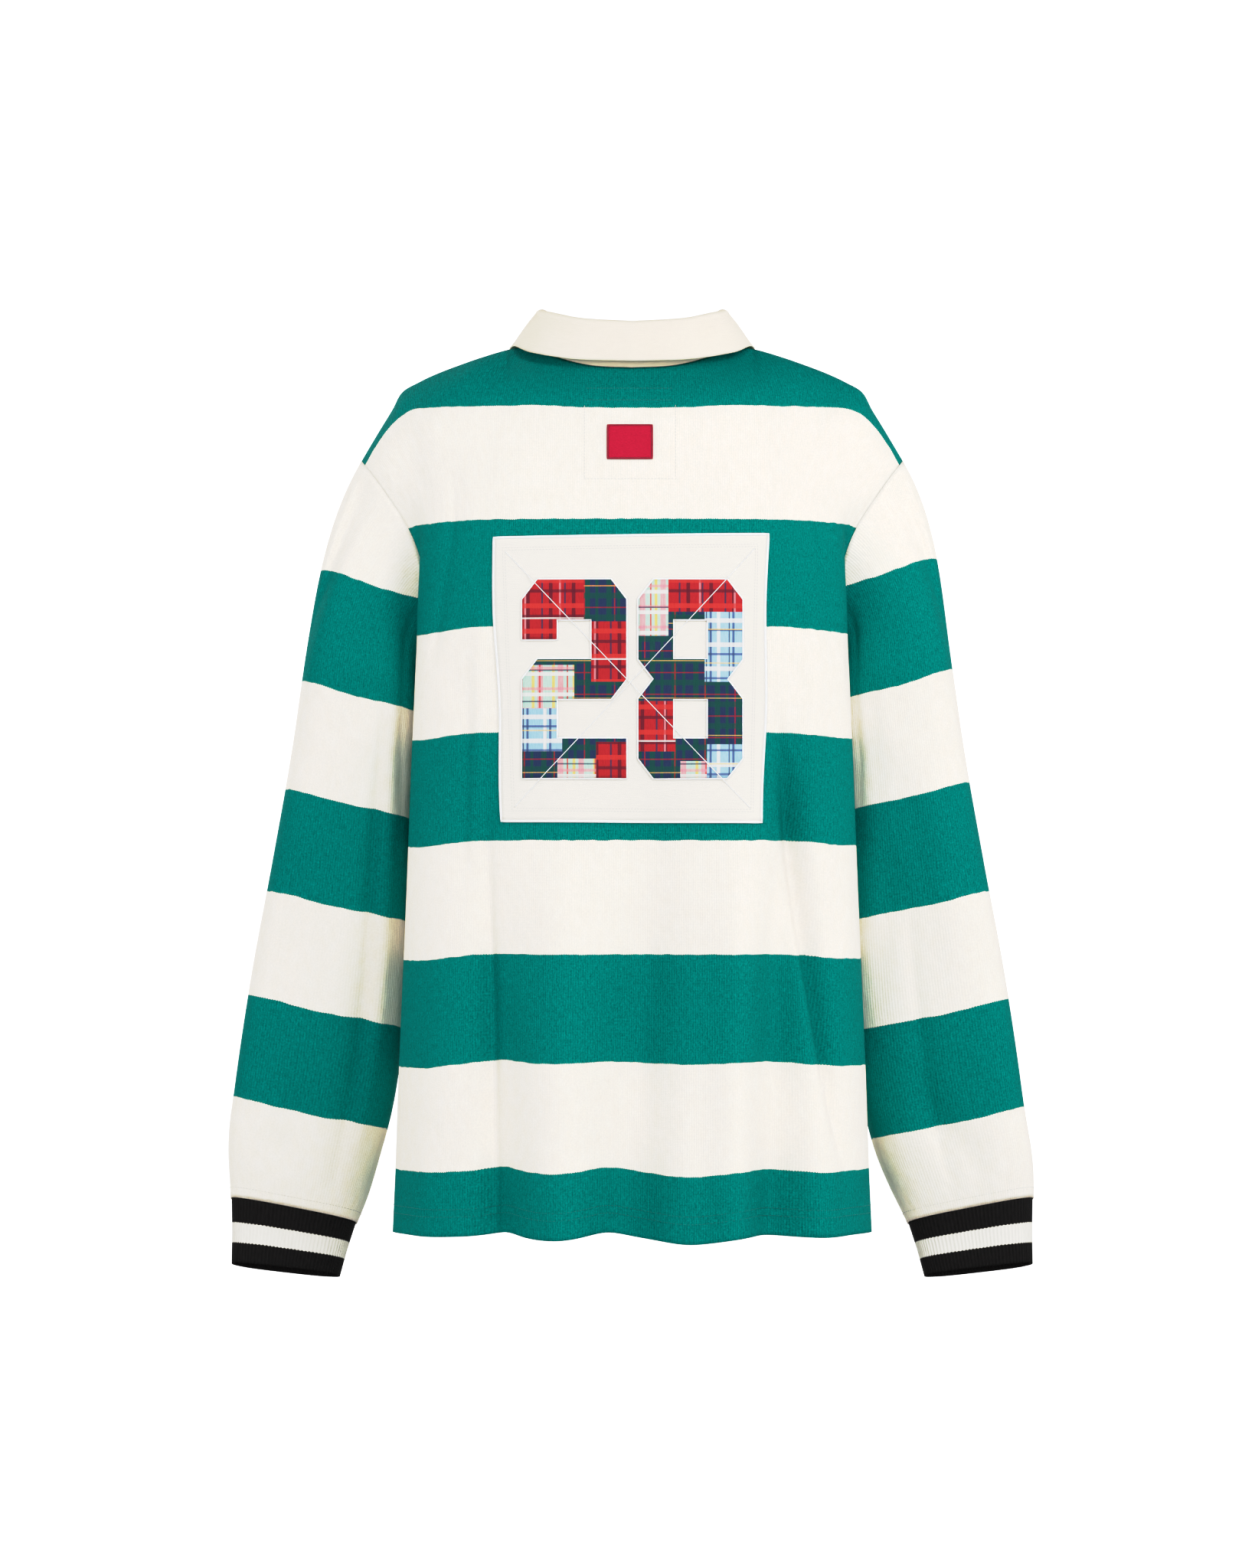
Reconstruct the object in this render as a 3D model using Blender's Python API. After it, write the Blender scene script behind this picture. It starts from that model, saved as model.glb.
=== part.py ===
"""Rugby shirt, filled out as worn, with nobody in it.

Metres, +Z up. The shirt faces -Y and the wearer's left is +X. The origin lies midway between
the two points where the collar meets the shoulder seams.

Every cloth piece is a wall: a grid of points on its outside face, worked out from the tables
of sections below, and the same grid moved in by the cloth's thickness. Rows of a grid run
round the body or sleeve and columns run along it. "Height" is the distance up the cloth from
the hem, as it would be measured on the cut piece.
"""

import math
from collections import namedtuple

import bmesh
import bpy
import numpy as np
from mathutils import Matrix, Vector

# ---------------------------------------------------------------- driving sizes
LENGTH = 0.7515  # neck point of the shoulder down to the hem
JERSEY = 0.0016  # wall of the knitted body and sleeves
RIB = 0.0022  # wall of the cuffs
TWILL = 0.0014  # wall of the collar and placket
PATCH_CLOTH = 0.0010  # wall of the number patch, figures and label
SEAM_GAP = 0.0003  # between pieces that are sewn together

# Number patch and its two figures, on the back. A figure is charted in rows and columns.
PATCH_HALF = 0.1153  # half its width
PATCH_FOOT = 0.3440  # heights of its lower and upper edges
PATCH_TOP = 0.5825
FIGURE_FOOT = 0.3819
FIGURE_ROW = 0.0165
FIGURE_ROWS = 10
FIGURE_COLUMNS = (0.0051, 0.0178, 0.0338, 0.0482, 0.0627, 0.0787, 0.0915)
ARMPIT = FIGURE_FOOT + 6 * FIGURE_ROW  # height of the armpit

PLACKET_HALF = 0.0175
PLACKET_ROWS = 8
BUTTON_RADIUS = 0.0068
BUTTON_TOP_RADIUS = 0.0058
BUTTON_SIDES = 24
BUTTON_THICK = 0.0032
BUTTON_DROPS = (0.022, 0.068, 0.114)  # button centres below the neck edge

# Distances round the cloth from the centre back or centre front to each column. Those up to
# the patch's edge keep their place, and the others share out what is left of the row.
NECK_COLUMN = 0.1045
OUTER_COLUMNS = (NECK_COLUMN, PATCH_HALF) + tuple(PATCH_HALF + 0.02 * n for n in range(1, 9))
BACK_COLUMNS = (0.0, *FIGURE_COLUMNS, *OUTER_COLUMNS)
FRONT_COLUMNS = (0.0, PLACKET_HALF, 0.034, 0.051, 0.068, 0.086, *OUTER_COLUMNS)
LABEL_HALF = FIGURE_COLUMNS[1]

# Heights of the rows up to the top of the patch, then the share of the way from there to the
# neck or shoulder at each row above. The front's rows change over at the armpit.
BACK_LEVELS = (
    tuple(PATCH_FOOT * n / 12 for n in range(13))
    + (0.363,)
    + tuple(FIGURE_FOOT + FIGURE_ROW * n for n in range(FIGURE_ROWS + 1))
    + (0.5640, PATCH_TOP)
)
BACK_YOKE = (0.21, 0.415, 0.575, 0.72, 0.85, 0.94, 1.0)
LABEL_YOKE_ROW = 1  # the label fills the row that starts at this one
FRONT_LEVELS = tuple(h for h in BACK_LEVELS if h < ARMPIT + 0.001)
FRONT_YOKE = tuple((n + 1) / 9 for n in range(8)) + (0.955, 1.0)

# ---------------------------------------------------------------- sections of the body
# Rings below the armpit. width: the widest the back reaches, fold_y: how far behind the side
# seam it does so, side: the side seam, back and front: depth at the centre.
Ring = namedtuple("Ring", "z width fold_y side back front")
RINGS = (
    Ring(-0.7515, 0.2025, 0.020, 0.2010, 0.138, 0.132),
    Ring(-0.6950, 0.2000, 0.022, 0.1975, 0.134, 0.130),
    Ring(-0.6100, 0.1970, 0.026, 0.1930, 0.127, 0.124),
    Ring(-0.5200, 0.1930, 0.032, 0.1870, 0.121, 0.120),
    Ring(-0.4270, 0.1890, 0.040, 0.1795, 0.117, 0.121),
    Ring(-0.3400, 0.1855, 0.046, 0.1740, 0.118, 0.126),
)
# Rows from the armpit up to just below the shoulder seam, for the +X half. z and centre_y: at
# the centre, fold_*: where the cloth turns towards the arm, turn: how far it has turned there
# in degrees, end_*: on the armhole seam, heading: its direction there, from +X.
Yoke = namedtuple("Yoke", "z centre_y fold_x fold_y fold_z turn end_x end_y end_z heading")
BACK_YOKES = (
    Yoke(-0.2706, 0.122, 0.1822, 0.052, -0.2706, 90, 0.1680, 0.000, -0.2706, -90),
    Yoke(-0.2300, 0.123, 0.1808, 0.058, -0.2300, 90, 0.1710, 0.022, -0.2370, -95),
    Yoke(-0.1900, 0.122, 0.1788, 0.063, -0.1900, 88, 0.1745, 0.037, -0.2020, -85),
    Yoke(-0.1500, 0.118, 0.1770, 0.066, -0.1500, 78, 0.1850, 0.046, -0.1660, -50),
    Yoke(-0.1080, 0.108, 0.1750, 0.062, -0.1080, 62, 0.2090, 0.037, -0.1270, -45),
    Yoke(-0.0530, 0.084, 0.1720, 0.044, -0.0520, 50, 0.2262, 0.016, -0.1035, -60),
)
FRONT_YOKES = (
    Yoke(-0.2706, -0.131, 0.1710, -0.040, -0.2706, 90, 0.1680, 0.000, -0.2706, 90),
    Yoke(-0.2300, -0.130, 0.1735, -0.050, -0.2300, 90, 0.1700, -0.022, -0.2370, 95),
    Yoke(-0.1900, -0.125, 0.1755, -0.058, -0.1900, 88, 0.1730, -0.037, -0.2020, 85),
    Yoke(-0.1640, -0.118, 0.1760, -0.062, -0.1500, 78, 0.1840, -0.046, -0.1660, 50),
    Yoke(-0.1360, -0.106, 0.1755, -0.060, -0.1080, 62, 0.2085, -0.038, -0.1270, 45),
    Yoke(-0.1020, -0.089, 0.1720, -0.044, -0.0530, 50, 0.2262, -0.019, -0.1035, 60),
)
# The neck edge from its centre to the shoulder, then the shoulder seam out to the sleeve.
Point = namedtuple("Point", "x y z")
NECK_POINT = Point(0.083, 0.002, 0.000)
BACK_NECK = (
    Point(0.000, 0.0500, -0.0226),
    Point(0.034, 0.0455, -0.0205),
    Point(0.064, 0.0290, -0.0120),
    NECK_POINT,
)
FRONT_NECK = (
    Point(0.000, -0.0660, -0.0700),
    Point(0.032, -0.0620, -0.0600),
    Point(0.060, -0.0440, -0.0350),
    Point(0.078, -0.0200, -0.0100),
    NECK_POINT,
)
SHOULDER = (
    NECK_POINT,
    Point(0.1010, 0.001, -0.0030),
    Point(0.1420, 0.000, -0.0155),
    Point(0.1810, -0.001, -0.0315),
    Point(0.1955, -0.002, -0.0400),
    Point(0.2035, -0.002, -0.0545),
    Point(0.2130, -0.002, -0.0700),
    Point(0.2300, -0.002, -0.0985),
)

# Soft folds that hang in the body. foot and head: distance round the cloth from the centre,
# + to the wearer's left, at the hem and where the fold dies out; top: the height of that;
# half: half its width; depth: + outwards; rise: how far it lifts the cloth at the hem.
Fold = namedtuple("Fold", "foot head top half depth rise")
BACK_FOLDS = (
    Fold(0.175, 0.150, 0.46, 0.036, 0.005, -0.0010),
    Fold(0.112, 0.110, 0.42, 0.026, -0.014, 0.0035),
    Fold(0.064, 0.075, 0.33, 0.036, 0.007, -0.0020),
    Fold(0.022, 0.020, 0.26, 0.028, -0.006, 0.0040),
    Fold(-0.048, -0.040, 0.30, 0.044, 0.007, -0.0055),
    Fold(-0.116, -0.106, 0.40, 0.032, -0.008, 0.0010),
    Fold(-0.165, -0.135, 0.42, 0.036, 0.006, -0.0015),
)
FRONT_FOLDS = (
    Fold(0.170, 0.140, 0.44, 0.040, 0.006, -0.0015),
    Fold(0.112, 0.120, 0.40, 0.032, -0.010, 0.0030),
    Fold(0.055, 0.065, 0.30, 0.040, 0.007, -0.0030),
    Fold(-0.010, 0.000, 0.24, 0.036, -0.007, 0.0035),
    Fold(-0.070, -0.075, 0.34, 0.042, 0.007, -0.0040),
    Fold(-0.128, -0.118, 0.40, 0.032, -0.010, 0.0025),
    Fold(-0.175, -0.150, 0.40, 0.034, 0.005, -0.0010),
)
NEAR_FOLD = 0.9  # from this share of the way to its fold, a row measures its height up the armhole
LEVEL_OFF = 0.05  # past the neck, the cloth turns level at the shoulder seam over this far
FOLD_END = 0.045  # the folds fade out over this distance from the side seam

# Rings of the sleeve on the +X side. x, y, z: centre, across and deep: half its breadth and
# half its depth, tilt: degrees that its outer edge is raised.
Sleeve = namedtuple("Sleeve", "x y z across deep tilt")
SLEEVE_RINGS = (
    Sleeve(0.2265, -0.010, -0.295, 0.0515, 0.052, 15.0),
    Sleeve(0.2335, -0.020, -0.355, 0.0535, 0.050, 14.0),
    Sleeve(0.2445, -0.036, -0.451, 0.0600, 0.046, 12.5),
    Sleeve(0.2565, -0.053, -0.552, 0.0674, 0.041, 12.0),
    Sleeve(0.2713, -0.069, -0.648, 0.0678, 0.036, 12.0),
    Sleeve(0.2842, -0.079, -0.706, 0.0623, 0.031, 11.5),
    Sleeve(0.2910, -0.084, -0.739, 0.0553, 0.025, 11.0),
)
CUFF_RINGS = (
    Sleeve(0.2911, -0.0841, -0.7392, 0.0543, 0.024, 11.0),
    Sleeve(0.2946, -0.0875, -0.7640, 0.0502, 0.021, 9.0),
    Sleeve(0.2982, -0.0900, -0.7900, 0.0469, 0.020, 6.5),
)
RING_LEAN = math.radians(10)  # a ring's back edge is raised by this
SWAY_END = 5 / 6  # share of the way down where the sway starts to fade
UNDERARM = (0.75, 0.0, -0.66)  # the way the sleeve leaves the body at the armpit
SLEEVE_HEAD_ROWS = 5  # rows between the armhole seam and the first full ring
SLEEVE_ROWS = 15
CUFF_ROWS = 3
SWAY = 0.0035  # the left sleeve hangs this much wider than drawn, the right this much closer

# The collar from the centre back to its front end, +X half: the top of the stand, and the
# outer edge of the leaf.
Collar = namedtuple("Collar", "roll_x roll_y roll_z edge_x edge_y edge_z")
COLLAR = (
    Collar(0.0000, 0.0425, 0.0106, 0.0000, 0.0640, -0.0180),
    Collar(0.0400, 0.0370, 0.0135, 0.0480, 0.0550, -0.0150),
    Collar(0.0680, 0.0190, 0.0205, 0.0850, 0.0340, -0.0060),
    Collar(0.0747, -0.0080, 0.0230, 0.1010, 0.0000, 0.0020),
    Collar(0.0650, -0.0330, 0.0080, 0.1030, -0.0400, -0.0120),
    Collar(0.0400, -0.0540, -0.0200, 0.0900, -0.0800, -0.0600),
    Collar(0.0035, -0.0645, -0.0425, 0.0580, -0.1045, -0.1080),
)
COLLAR_FRONT = 0.0015  # half the opening between the collar's ends
STAND_ROWS = 2
LEAF_ROWS = 3  # below the roll
ROLL = 0.0042  # radius of the roll where the leaf turns over
ROLL_STEPS = 5

# ---------------------------------------------------------------- curves and tables

PATH_STEPS = 120
SAME_POINT = 1e-4
CLOSE = 1e-6  # two distances that are meant to be the same


def points_of(table):
    return np.array([(p.x, p.y, p.z) for p in table], float)


def ease(t):
    """0 below 0 and 1 above 1, with a smooth climb between."""
    t = np.clip(t, 0.0, 1.0)
    return t * t * (3.0 - 2.0 * t)


def smooth(knots, values, at, last_slope=None):
    """The smooth curve through values at the knots, read at the places in `at`."""
    knots, at = np.asarray(knots, float), np.asarray(at, float)
    values = np.asarray(values, float).reshape(len(knots), -1)
    step = np.diff(knots)[:, None]
    secant = np.diff(values, axis=0) / step
    slope = np.empty_like(values)
    slope[0], slope[-1] = secant[0], secant[-1]
    slope[1:-1] = (step[1:] * secant[:-1] + step[:-1] * secant[1:]) / (step[1:] + step[:-1])
    if last_slope is not None:
        slope[-1] = last_slope
    k = np.clip(np.searchsorted(knots, at, side="right") - 1, 0, len(knots) - 2)
    h, t = step[k], ((at - knots[k])[:, None]) / step[k]
    return (
        (1 + 2 * t) * (1 - t) ** 2 * values[k]
        + t * (1 - t) ** 2 * h * slope[k]
        + t * t * (3 - 2 * t) * values[k + 1]
        + t * t * (t - 1) * h * slope[k + 1]
    )


def along(path):
    """Distance along a path of points, at each of them."""
    return np.concatenate([[0.0], np.cumsum(np.linalg.norm(np.diff(path, axis=0), axis=1))])


def read_at(path, marks):
    """The points of a path at those distances along it."""
    far = along(path)
    return np.stack([np.interp(marks, far, path[:, k]) for k in range(3)], axis=1)


def smooth_path(points):
    """The smooth curve through a path's points, as many short steps."""
    far = along(points)
    return smooth(far, points, np.linspace(0.0, far[-1], PATH_STEPS))


def unit(v):
    return v / np.maximum(np.linalg.norm(v, axis=-1, keepdims=True), 1e-12)


# ---------------------------------------------------------------- rows of the body


BOW_STEPS = 60


def bow(section):
    """A row from the centre to the armhole or side seam: an elliptic arc as far as the fold,
    and a smooth turn from there to the seam."""
    turn = math.radians(section.turn)
    a = np.linspace(0.0, turn, BOW_STEPS)
    across = np.sin(a) / math.sin(turn)
    back = (1 - np.cos(a)) / (1 - math.cos(turn))
    arc = np.stack(
        [
            section.fold_x * across,
            section.centre_y + (section.fold_y - section.centre_y) * back,
            section.z + (section.fold_z - section.z) * ease(across),
        ],
        axis=1,
    )
    end = np.array([section.end_x, section.end_y, section.end_z])
    reach = np.linalg.norm(end - arc[-1])
    if reach < SAME_POINT:
        return arc
    leaving = unit(arc[-1] - arc[-2]) * reach
    heading = math.radians(section.heading)
    arriving = np.array([math.cos(heading), math.sin(heading), 0.0]) * reach
    t = np.linspace(0.0, 1.0, BOW_STEPS // 2)[1:, None]
    turn_in = (
        (1 + 2 * t) * (1 - t) ** 2 * arc[-1]
        + t * (1 - t) ** 2 * leaving
        + t * t * (3 - 2 * t) * end
        + t * t * (t - 1) * arriving
    )
    return np.concatenate([arc, turn_in])


def low_section(ring, back):
    """A ring below the armpit, in the terms of a row above it."""
    if back:
        return Yoke(
            ring.z, ring.back, ring.width, ring.fold_y, ring.z, 90, ring.side, 0.0, ring.z, -90
        )
    return Yoke(ring.z, -ring.front, ring.side, 0.0, ring.z, 90, ring.side, 0.0, ring.z, 90)


def spread(marks, length):
    """The columns' distances along a row of that length."""
    marks = np.asarray(marks)
    outer = PATCH_HALF + (marks - PATCH_HALF) / (marks[-1] - PATCH_HALF) * (length - PATCH_HALF)
    return np.where(marks <= PATCH_HALF + CLOSE, marks, outer)


def top_row(neck, marks):
    """The neck edge and the shoulder seam, met at the neck column."""
    neck_path = smooth_path(points_of(neck))
    seam_path = smooth_path(points_of(SHOULDER))
    marks = np.asarray(marks)
    on_neck = marks <= NECK_COLUMN + CLOSE
    on_edge = (0.0, PLACKET_HALF, along(neck_path)[-1])
    neck_marks = np.interp(marks[on_neck], (0.0, PLACKET_HALF, NECK_COLUMN), on_edge)
    seam_share = (marks[~on_neck] - NECK_COLUMN) / (marks[-1] - NECK_COLUMN)
    return np.concatenate(
        [read_at(neck_path, neck_marks), read_at(seam_path, seam_share * along(seam_path)[-1])]
    )


def panel_frame(back, marks):
    """The rows that a panel passes through, +X half, and each one's height at each column."""
    yokes = BACK_YOKES if back else FRONT_YOKES
    rows, heights = [], []
    armhole = ARMPIT
    last_end = None
    for section in [low_section(r, back) for r in RINGS] + list(yokes):
        path = bow(section)
        row = read_at(path, spread(marks, along(path)[-1]))
        height = LENGTH + row[:, 2]
        if section in yokes:
            if last_end is not None:
                armhole += np.linalg.norm(row[-1] - last_end)
            last_end = row[-1]
            share = ease((row[:, 0] / section.fold_x - NEAR_FOLD) / (1 - NEAR_FOLD))
            share[-1] = 1.0
            height = height + share * (armhole - height[-1])
        rows.append(row)
        heights.append(height)
    top = top_row(BACK_NECK if back else FRONT_NECK, marks)
    heights.append(heights[-1] + np.linalg.norm(top - rows[-1], axis=1))
    rows.append(top)
    return np.array(rows), np.array(heights)


def fold_shift(folds, across, height):
    """How far the folds move the cloth outwards, and up, at a distance round and a height."""
    out, up = 0.0, 0.0
    for fold in folds:
        share = np.clip(height / fold.top, 0.0, 1.0)
        middle = fold.foot + (fold.head - fold.foot) * share
        bump = np.exp(-(((across - middle) / fold.half) ** 2) * 2.0)
        strength = 1.0 - ease(share)
        out = out + fold.depth * bump * strength
        up = up + fold.rise * bump * strength**2
    return out, up


def panel(back, marks, levels, yoke):
    """The outside face of the back or front: an array of rows from hem to shoulder, each from
    the wearer's right to left."""
    frame, heights = panel_frame(back, marks)
    marks = np.asarray(marks)
    columns = []
    tops = []
    for j in range(len(marks)):
        top = heights[-1, j]
        wanted = np.concatenate(
            [levels, levels[-1] + np.asarray(yoke) * (top - levels[-1])]
        )
        level_off = ease((marks[j] - NECK_COLUMN) / LEVEL_OFF)
        rising = unit(frame[-1, j] - frame[-2, j])
        flat = np.array([0.0, -1.0 if back else 1.0, 0.0])
        slope = unit((1 - level_off) * rising + level_off * flat)
        if j < len(marks) - 1:
            columns.append(smooth(heights[:, j], frame[:, j], wanted, slope))
        else:
            side = slice(0, len(RINGS) + 1)
            armhole = slice(len(RINGS), None)
            low = wanted <= ARMPIT + CLOSE
            seam = smooth(heights[side, j], frame[side, j], wanted[low])
            edge = smooth(heights[armhole, j], frame[armhole, j], wanted[~low], slope)
            columns.append(np.concatenate([seam, edge]))
        tops.append(wanted)
    half = np.array(columns).transpose(1, 0, 2)
    height = np.array(tops).T
    mirrored = half[:, :0:-1] * (-1, 1, 1)
    grid = np.concatenate([mirrored, half], axis=1)
    height = np.concatenate([height[:, :0:-1], height], axis=1)
    across = np.concatenate([-marks[:0:-1], marks])[None, :] * np.ones_like(height)
    out, up = fold_shift(BACK_FOLDS if back else FRONT_FOLDS, across, height)
    inside = ease((marks[-1] - np.abs(across)) / FOLD_END)
    out, up = out * inside, up * inside
    away = grid_normals(grid, flip=not back)
    away[..., 2] = 0.0
    grid = grid + unit(away) * out[..., None]
    grid[..., 2] += up
    return grid


# ---------------------------------------------------------------- walls

FULL, EMPTY = "full", "empty"  # shapes of a cell, besides the number of the corner it lacks
MITRE_STEPS = 40
MITRE_LEAST = 0.6  # keeps a mitre's length within 1 / this of the wall's thickness
SHARP_ANGLE = 50  # degrees


def row_heading(row, neck_points=()):
    """The way a row runs at each of its points. At a neck point, where its edge turns a
    corner, that is the way the shoulder seam runs."""
    heading = np.gradient(row, axis=0)
    for j, step in neck_points:
        heading[j] = (row[j + step] - row[j]) * step
    return heading


def grid_normals(grid, closed=False, flip=False, neck_points=()):
    """Unit normals of a grid, from its rows and columns."""
    up = np.gradient(grid, axis=0)
    if closed:
        round_it = (np.roll(grid, -1, axis=1) - np.roll(grid, 1, axis=1)) / 2
    else:
        round_it = np.gradient(grid, axis=1)
        round_it[-1] = row_heading(grid[-1], neck_points)
    normal = unit(np.cross(up, round_it))
    return -normal if flip else normal


def mitre_seams(pieces):
    """Walls that share a seam lean the same way there, so that they meet and don't cross.
    pieces: a grid and its normals for each. The normals on shared points are made common,
    midway between the two that lean furthest apart, and lengthened so that each wall keeps
    its thickness."""
    shared = {}
    for grid, normals in pieces:
        for key, normal in zip(np.round(grid.reshape(-1, 3), 6), normals.reshape(-1, 3)):
            shared.setdefault(tuple(key), []).append(normal.copy())
    for grid, normals in pieces:
        flat = normals.reshape(-1, 3)
        for k, key in enumerate(np.round(grid.reshape(-1, 3), 6)):
            met = np.array(shared[tuple(key)])
            if len(met) > 1:
                mean = unit(met.sum(axis=0))
                for _ in range(MITRE_STEPS):
                    mean = unit(mean + met[np.argmin(met @ mean)] / MITRE_STEPS)
                flat[k] = mean / max(MITRE_LEAST, float(np.min(met @ mean)))


def trimmed(grid, sides, neck_points=()):
    """The grid with the named sides drawn back by half a seam gap, square to the seam."""

    def draw_back(edge, beside, corners=()):
        along_seam = unit(row_heading(edge, corners))
        inward = beside - edge
        inward = inward - np.sum(inward * along_seam, axis=1, keepdims=True) * along_seam
        return unit(inward) * SEAM_GAP / 2

    moved = grid.copy()
    if "top" in sides:
        moved[-1] += draw_back(grid[-1], grid[-2], neck_points)
    if "foot" in sides:
        moved[0] += draw_back(grid[0], grid[1])
    if "ends" in sides:
        moved[:, 0] += draw_back(grid[:, 0], grid[:, 1])
        moved[:, -1] += draw_back(grid[:, -1], grid[:, -2])
    return moved


def corner_cells(i, j, k):
    """A cell's corners: its foot from column j to k, then its top from k to j."""
    return [(i, j), (i, k), (i + 1, k), (i + 1, j)]


def cloth_wall(name, outer, inner, material, closed=False, chart=None):
    """A wall between two grids that match point for point. A closed grid joins its last column
    to its first. chart gives a cell's shape: full, empty, or missing one of its corners."""
    rows, cols = outer.shape[:2]
    mesh = bmesh.new()
    out = [[mesh.verts.new(p) for p in row] for row in outer]
    inn = [[mesh.verts.new(p) for p in row] for row in inner]
    rim = set()
    for i in range(rows - 1):
        for j in range(cols if closed else cols - 1):
            shape = chart(i, j) if chart else FULL
            if shape == EMPTY:
                continue
            corners = corner_cells(i, j, (j + 1) % cols)
            if shape == FULL:
                triangles = (corners[0:3], [corners[0], corners[2], corners[3]])
            else:
                corners.pop(shape)
                triangles = (corners,)
            for triangle in triangles:
                mesh.faces.new([inn[r][c] for r, c in triangle])
                mesh.faces.new([out[r][c] for r, c in reversed(triangle)])
            for edge in zip(corners, corners[1:] + corners[:1]):
                if edge[::-1] in rim:
                    rim.remove(edge[::-1])
                else:
                    rim.add(edge)
    for (r, c), (s, d) in sorted(rim):
        a, b, under_b, under_a = out[r][c], out[s][d], inn[s][d], inn[r][c]
        # Split by height, so that two rims that face across a seam are split alike.
        if b.co.z > a.co.z:
            halves = ((a, b, under_b), (a, under_b, under_a))
        else:
            halves = ((a, b, under_a), (b, under_b, under_a))
        for half in halves:
            mesh.faces.new(half)
    loose = [v for v in mesh.verts if not v.link_faces]
    bmesh.ops.delete(mesh, geom=loose, context="VERTS")
    bmesh.ops.recalc_face_normals(mesh, faces=mesh.faces)
    return add_piece(name, mesh, material)


def add_piece(name, mesh, material):
    data = bpy.data.meshes.new(name)
    mesh.to_mesh(data)
    mesh.free()
    data.shade_smooth()
    data.set_sharp_from_angle(angle=math.radians(SHARP_ANGLE))
    data.materials.append(material)
    piece = bpy.data.objects.new(name, data)
    shirt.objects.link(piece)
    return piece


def finish(name, rgb, roughness):
    """A cloth or rubber material."""
    material = bpy.data.materials.new(name)
    material.use_nodes = True
    shader = material.node_tree.nodes["Principled BSDF"]
    shader.inputs["Base Color"].default_value = (*rgb, 1.0)
    shader.inputs["Roughness"].default_value = roughness
    shader.inputs["Metallic"].default_value = 0.0
    material.diffuse_color = (*rgb, 1.0)
    return material


# ---------------------------------------------------------------- sleeves and cuffs


def arm_ring(ring, angles):
    """An oval ring across the arm. Angle 0 is its outer edge and 90 degrees faces back."""
    tilt = math.radians(ring.tilt)
    outward = np.array([math.cos(tilt), 0.0, math.sin(tilt)])
    backward = np.array([0.0, math.cos(RING_LEAN), math.sin(RING_LEAN)])
    centre = np.array([ring.x, ring.y, ring.z])
    return (
        centre
        + ring.across * np.cos(angles)[:, None] * outward
        + ring.deep * np.sin(angles)[:, None] * backward
    )


def arm_tube(rings, rows, angles):
    """That many rows of rings down the arm, from a table of them."""
    table = np.array(rings, float)
    far = along(table[:, :3])
    at = np.linspace(0.0, far[-1], rows + 1)
    return np.array([arm_ring(Sleeve(*row), angles) for row in smooth(far, table, at)])


def armhole_angles(armhole, armpit):
    """Where each point of the armhole seam goes to on a ring: the shoulder at 0, and the
    armpit half way round."""
    far = along(np.concatenate([armhole, armhole[:1]]))
    behind = far[:armpit] / far[armpit]
    before = 1.0 + (far[armpit:-1] - far[armpit]) / (far[-1] - far[armpit])
    return math.pi * np.concatenate([behind, before])


def sleeve(armhole, leaving, armpit, sway):
    """The outside face of a sleeve on the +X side, from the armhole seam down to the cuff."""
    angles = armhole_angles(armhole, armpit)
    rings = arm_tube(SLEEVE_RINGS, SLEEVE_ROWS, angles)
    depth = np.linspace(0.0, 1.0, len(rings))[:, None]
    rings[..., 0] += sway * (1.0 - ease((depth - SWAY_END) / (1.0 - SWAY_END)))
    reach = np.linalg.norm(rings[0] - armhole, axis=1, keepdims=True)
    seam = unit(np.roll(armhole, -1, axis=0) - np.roll(armhole, 1, axis=0))
    across = leaving - np.sum(leaving * seam, axis=1, keepdims=True) * seam
    over = (np.cos(angles / 2) ** 2)[:, None]
    start = unit(over * unit(across) + (1 - over) * UNDERARM) * reach
    arriving = unit(rings[1] - rings[0]) * reach
    head = [
        (1 + 2 * t) * (1 - t) ** 2 * armhole
        + t * (1 - t) ** 2 * start
        + t * t * (3 - 2 * t) * rings[0]
        + t * t * (t - 1) * arriving
        for t in np.linspace(0.0, 1.0, SLEEVE_HEAD_ROWS + 1)[:-1]
    ]
    return np.concatenate([np.array(head), rings]), angles


def armhole_loop(back, front, side):
    """The armhole seam on one side, mirrored to +X: down the back to the armpit and up the
    front. Also the way the cloth of each panel is heading there, and the armpit's place."""
    edge, beside = (-1, -2) if side > 0 else (0, 1)
    low_back = BACK_LEVELS.index(FRONT_LEVELS[-1])
    low_front = len(FRONT_LEVELS) - 1
    behind, before = back[low_back:], front[low_front:]
    loop = np.concatenate([behind[::-1, edge], before[1:-1, edge]])
    leaving = np.concatenate(
        [
            unit(behind[:, edge] - behind[:, beside])[::-1],
            unit(before[:, edge] - before[:, beside])[1:-1],
        ]
    )
    flip = (side, 1, 1)
    return loop * flip, leaving * flip, len(behind) - 1


# ---------------------------------------------------------------- collar


def neck_edge(back, front):
    """The neck edge from the centre back to the collar's front end, +X half."""
    behind = back[-1, len(BACK_COLUMNS) - 1 :][: BACK_COLUMNS.index(NECK_COLUMN) + 1]
    before = front[-1, len(FRONT_COLUMNS) - 1 :][: FRONT_COLUMNS.index(NECK_COLUMN) + 1]
    short = COLLAR_FRONT / before[1, 0]
    before = np.concatenate([[before[0] + (before[1] - before[0]) * short], before[1:]])
    return np.concatenate([behind, before[-2::-1]])


def both_halves(half):
    """A grid whose columns start at the centre back, with its mirror image before it."""
    return np.concatenate([half[:, :0:-1] * (-1, 1, 1), half], axis=1)


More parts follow.
